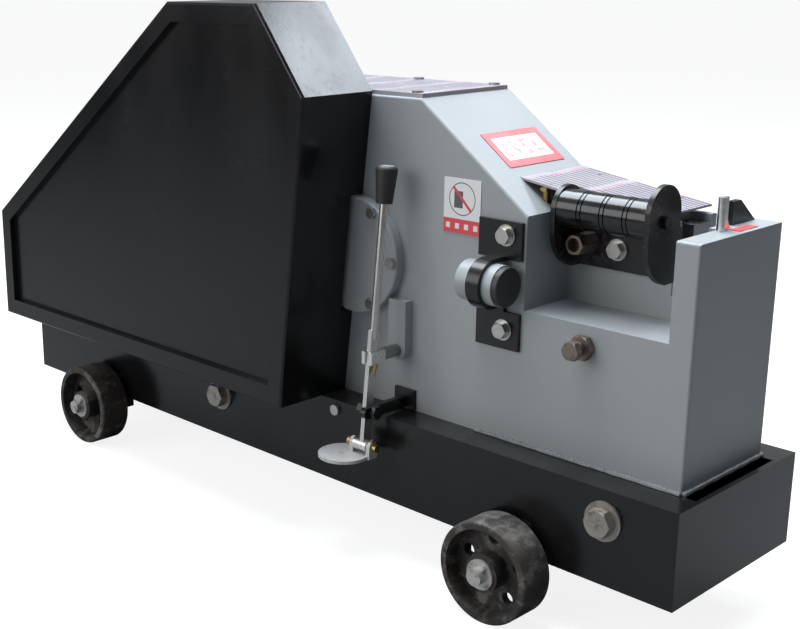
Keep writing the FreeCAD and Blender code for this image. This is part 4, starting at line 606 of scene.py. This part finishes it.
class CUTTER_OT_fasteners(bpy.types.Operator):
    """Finish the bolts, studs and screws"""
    bl_idname = "cutter.fasteners"
    bl_label = "Fasteners"

    def execute(self, context):
        _, metals, _, _ = settings()
        rust = tup(metals.rust)
        zinc = bare_metal("zinc_plate", tup(metals.zinc), rust, 0.30, rusty=0.16, scale=140.0)
        raw = bare_metal("raw_steel", tup(metals.raw), rust, 0.42, rusty=0.40, scale=120.0,
                         rust_scale=85.0)
        bright = bare_metal("bright_zinc", tup(metals.bright), rust, 0.26, rusty=0.02, scale=160.0,
                            contrast=0.15)
        dull = bare_metal("dull_zinc", tup(metals.dull), rust, 0.45, rusty=0.36, scale=110.0, metallic=0.8)
        brass = bare_metal("yellow_plate", tup(metals.brass), rust, 0.30, rusty=0.12, scale=140.0)
        dress(zinc, "lid_screws", "cap_bolts", "mounting_bolts", "flywheel_nut", "bracket_bolts")
        dress(bright, "clutch_clevis", "lifting_pin")
        dress(raw, "side_studs")
        dress(bare_metal("dark_pin", tup(metals.dark), rust, 0.30, rusty=0.05, scale=120.0), "roller_pin")
        dress(dull, "tie_bolts")
        dress(brass, "cover_bolts", "pedal_pin")
        return {"FINISHED"}


class CUTTER_OT_control(bpy.types.Operator):
    """Finish the clutch lever, its knob and its pedal, and set a pale disc in the knob's top as a painted
    highlight
    """
    bl_idname = "cutter.control"
    bl_label = "Clutch Control"

    def execute(self, context):
        paints, metals, details, _ = settings()
        rust = tup(metals.rust)
        bar = bare_metal("lever_steel", tup(metals.lever), rust, 0.26, rusty=0.05, lines=(1.0, 1.0, 0.04),
                         scale=240.0, contrast=0.2)
        plate = bare_metal("pedal_plate", tup(metals.galvanised), rust, 0.50, rusty=0.22, scale=60.0,
                           metallic=0.25, contrast=0.2)
        knob = moulded("knob_rubber", (0.016, 0.015, 0.015), 0.42, 320.0, tup(paints.dust), 0.25)
        dress(bar, "lever_bar")
        dress(bare_metal("rod_steel", tup(metals.steel), rust, 0.22, rusty=0.08, lines=(1.0, 0.05, 1.0)),
              "shift_rod")
        dress(plate, "pedal_disc")
        dress(knob, "lever_knob", "canister_cap")
        # painted highlight: a pale bluish disc in the knob's top stands for the light caught there
        low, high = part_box("lever_knob")
        pivot = next(Vector(j["pos_m"]) for j in frame["joints"] if j["name"] == "clutch_lever")
        radius = (high.x - low.x) / 2 * 0.62
        middle_y, middle_z = (low.y + high.y) / 2, (low.z + high.z) / 2
        tilt = math.atan2(middle_y - pivot.y, middle_z - pivot.z)
        turn = Matrix.Rotation(-tilt, 4, "X")
        reach = (Vector(((low.x + high.x) / 2, middle_y, middle_z)) - pivot).length
        top = reach + (high.z - low.z) / 2 - 1.2 * MM
        foot = Vector(((low.x + high.x) / 2, pivot.y, pivot.z))
        centre = foot + turn @ Vector((0.0, 0.0, top - details.highlight_disc_depth))
        shape = bmesh.new()
        disc(shape, centre, radius, details.highlight_disc_depth + 0.4 * MM, turn, sides=32, top=0.92)
        # pale bluish finish of the painted highlight disc on the knob
        pale = moulded("knob_highlight_disc", (0.30, 0.36, 0.46), 0.30, 200.0, tup(paints.dust), 0.3)
        finish_piece(shape, "knob_highlight_disc", pale, "lever")
        return {"FINISHED"}


class CUTTER_OT_cotter(bpy.types.Operator):
    """Hang the brass cotter tail from the clevis of the shift rod"""
    bl_idname = "cutter.cotter"
    bl_label = "Clevis Cotter"

    def execute(self, context):
        _, metals, details, _ = settings()
        low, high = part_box("clutch_clevis")
        turn = Matrix.Rotation(math.radians(165.0), 4, "X")
        top = Vector((high.x - details.cotter_radius, low.y + 9.0 * MM, low.z + 1.0 * MM))
        shape = bmesh.new()
        disc(shape, top, details.cotter_radius, details.cotter_length, turn, sides=18, top=0.45)
        brass = bare_metal("cotter_brass", tup(metals.brass), tup(metals.rust), 0.28, rusty=0.04, scale=160.0)
        finish_piece(shape, "clevis_cotter", brass, "shifter")
        return {"FINISHED"}


class CUTTER_OT_drive(bpy.types.Operator):
    """Finish the flywheel, belts, gears, crank, ram and blades"""
    bl_idname = "cutter.drive"
    bl_label = "Drive and Blades"

    def execute(self, context):
        paints, metals, _, _ = settings()
        rust = tup(metals.rust)
        oiled = bare_metal("oiled_steel", tup(metals.oiled), rust, 0.28, rusty=0.06, lines=(1.0, 0.08, 1.0))
        turned = bare_metal("turned_iron", tup(metals.turned), rust, 0.40, rusty=0.22, lines=(1.0, 0.1, 1.0))
        ground = bare_metal("ground_steel", tup(metals.steel), rust, 0.22, rusty=0.10, lines=(1.0, 1.0, 0.05),
                            scale=300.0)
        bright = bare_metal("bright_steel", tup(metals.steel), rust, 0.25, rusty=0.05, lines=(0.08, 1.0, 1.0))
        dress(oiled, "pinion_shaft", "intermediate_shaft", "intermediate_gear", "bull_gear", "clutch_sleeve",
              "crankshaft")
        dress(turned, "flywheel", "motor_pulley", "connecting_rod", "ram")
        dress(ground, "moving_blade", "fixed_blade")
        dress(bright, "motor_rotor", "shaft_bearings", "wrist_pin")
        bronze = bare_metal("bearing_bronze", tup(metals.brass), rust, 0.34, rusty=0.05)
        dress(bronze, "crank_bushes", "ram_guides")
        dress(moulded("belt_rubber", tup(metals.rubber), 0.62, 260.0, tup(paints.dust), 0.5), "v_belts")
        return {"FINISHED"}


class CUTTER_OT_welds(bpy.types.Operator):
    """Lay weld beads round the foot of the body, on the base"""
    bl_idname = "cutter.welds"
    bl_label = "Weld Beads"

    def execute(self, context):
        paints, _, details, _ = settings()
        body_low, body_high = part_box("machine_body")
        near = body_low.y + GUIDE_BOSS
        far = body_high.y
        foot = body_low.z
        tuck = details.weld_radius * 0.35
        shape = bmesh.new()
        nose_x = body_high.x + tuck
        runs = [((nose_x, near, foot + tuck), (nose_x, far, foot + tuck)),
                ((NEAR_WELD_X, near - tuck, foot + tuck), (body_high.x, near - tuck, foot + tuck)),
                ((body_low.x, far + tuck, foot + tuck), (body_high.x, far + tuck, foot + tuck))]
        size = (details.weld_radius, details.weld_pitch, details.bead_sides)
        for start, end in runs:
            bead(shape, Vector(start), Vector(end), *size)
        skin = enamel("weld_enamel", (0.19, 0.20, 0.21), (0.10, 0.07, 0.05), tup(paints.dust), 0.35,
                      dusty=0.4, worn=0.6, peel=1.0)
        finish_piece(shape, "weld_beads", skin, "frame")
        return {"FINISHED"}


class CUTTER_OT_box_screws(bpy.types.Operator):
    """Set the four screws of the terminal box lid"""
    bl_idname = "cutter.box_screws"
    bl_label = "Terminal Box Screws"

    def execute(self, context):
        _, metals, details, _ = settings()
        low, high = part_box("terminal_box")
        gland_reach = GLAND_REACH - 3.0 * MM
        inset = 9.0 * MM
        shape = bmesh.new()
        for x in (low.x + gland_reach + inset, high.x - inset):
            for y in (low.y + inset, high.y - inset):
                disc(shape, Vector((x, y, high.z - 0.2 * MM)), details.screw_radius, 2.4 * MM, sides=16)
        screw = bare_metal("box_screw", tup(metals.zinc), tup(metals.rust), 0.3, rusty=0.12)
        finish_piece(shape, "terminal_screws", screw, "frame")
        return {"FINISHED"}


# ---------------------------------------------------------------- stage
def area_light(name, place, size, power, tint):
    data = bpy.data.lights.new(name, "AREA")
    data.shape = "RECTANGLE"
    data.size, data.size_y = size
    data.energy = power
    data.color = tint
    light = bpy.data.objects.new(name, data)
    light.location = place
    light.rotation_mode = "QUATERNION"
    light.rotation_quaternion = (Vector(LIGHT_AIM) - Vector(place)).to_track_quat("-Z", "Y")
    bpy.context.scene.collection.objects.link(light)


class CUTTER_OT_stage(bpy.types.Operator):
    """Lay the floor, hang the lights and place the camera"""
    bl_idname = "cutter.stage"
    bl_label = "Stage"

    def execute(self, context):
        _, _, _, stage = settings()
        scene = context.scene
        shape = bmesh.new()
        bmesh.ops.create_grid(shape, x_segments=1, y_segments=1, size=stage.floor_size / 2)
        mesh = bpy.data.meshes.new("floor")
        shape.to_mesh(mesh)
        shape.free()
        floor = bpy.data.objects.new("floor", mesh)
        material, tree, shader = blank("floor_paper")
        grain = noise(tree, object_space(tree), 30.0, 2.0)
        wire(tree, shader, Base_Color=blend_colour(tree, grain, (0.25, 0.25, 0.25), (0.27, 0.27, 0.27)))
        shader.inputs["Roughness"].default_value = 0.9
        shader.inputs["Emission Color"].default_value = (1.0, 1.0, 1.0, 1.0)
        seen = put(tree, "ShaderNodeLightPath").outputs["Is Camera Ray"]
        wire(tree, shader, Emission_Strength=maths(tree, "MULTIPLY", seen, 0.86))
        mesh.materials.append(material)
        scene.collection.objects.link(floor)
        world = bpy.data.worlds.new("studio")
        scene.world = world
        world.use_nodes = True
        sky = world.node_tree
        ground = sky.nodes["Background"]
        ground.inputs["Color"].default_value = (0.93, 0.96, 1.0, 1.0)
        seen = put(sky, "ShaderNodeLightPath").outputs["Is Camera Ray"]
        toward = put(sky, "ShaderNodeSeparateXYZ", {0: put(sky, "ShaderNodeTexCoord").outputs["Generated"]})
        side = ramp(sky, toward.outputs[0], -0.1, 0.65, stage.ambient, stage.ambient * stage.nose_ambient)
        strength = put(sky, "ShaderNodeMapRange", {"Value": seen, "To Min": side, "To Max": 1.05})
        sky.links.new(strength.outputs[0], ground.inputs["Strength"])
        area_light("top_light", (-0.5, 0.1, 3.0), (2.2, 2.6), stage.key_power, (0.86, 0.93, 1.0))
        area_light("side_light", (-1.3, -3.2, 1.6), (3.0, 2.0), stage.fill_power, (1.0, 0.99, 0.97))
        area_light("back_light", (0.6, 2.0, 2.6), (1.5, 0.5), stage.back_power, (0.85, 0.92, 1.0))
        forward = Vector(CAMERA_FORWARD)
        right = Vector(CAMERA_RIGHT)
        up = right.cross(forward)
        turn = Matrix((right, up, -forward)).transposed().to_4x4()
        data = bpy.data.cameras.new("camera")
        data.lens = stage.lens
        data.sensor_width = 36.0
        data.shift_x = 0.1475
        data.shift_y = -0.0044
        data.clip_end = 200.0
        camera = bpy.data.objects.new("camera", data)
        camera.matrix_world = Matrix.Translation(CAMERA_PLACE) @ turn
        scene.collection.objects.link(camera)
        scene.camera = camera
        scene.view_settings.view_transform = "Standard"
        return {"FINISHED"}


STEPS = (CUTTER_OT_enamels, CUTTER_OT_prints, CUTTER_OT_wheels, CUTTER_OT_fasteners, CUTTER_OT_control,
         CUTTER_OT_cotter, CUTTER_OT_drive, CUTTER_OT_welds, CUTTER_OT_box_screws, CUTTER_OT_stage)
GROUPS = (("cutter_paints", CutterPaints), ("cutter_metals", CutterMetals), ("cutter_details", CutterDetails),
          ("cutter_stage", CutterStage))


class CUTTER_PT_sidebar(bpy.types.Panel):
    """Rebar cutter pieces and finishes"""
    bl_idname = "CUTTER_PT_sidebar"
    bl_label = "Rebar Cutter"
    bl_space_type = "VIEW_3D"
    bl_region_type = "UI"
    bl_category = "Rebar Cutter"

    def draw(self, context):
        for label, kind in GROUPS:
            box = self.layout.box()
            box.label(text=label.replace("_", " "))
            for key in kind.__annotations__:
                box.prop(getattr(context.scene, label), key)
        for step in STEPS:
            self.layout.operator(step.bl_idname)


CLASSES = tuple(kind for _, kind in GROUPS) + STEPS + (CUTTER_PT_sidebar,)


def register():
    for kind in CLASSES:
        bpy.utils.register_class(kind)
    for label, kind in GROUPS:
        setattr(bpy.types.Scene, label, PointerProperty(type=kind))


def unregister():
    for label, _ in GROUPS:
        delattr(bpy.types.Scene, label)
    for kind in reversed(CLASSES):
        bpy.utils.unregister_class(kind)


def main():
    register()
    for step in STEPS:
        group, name = step.bl_idname.split(".")
        getattr(getattr(bpy.ops, group), name)()


if __name__ == "__main__":
    main()
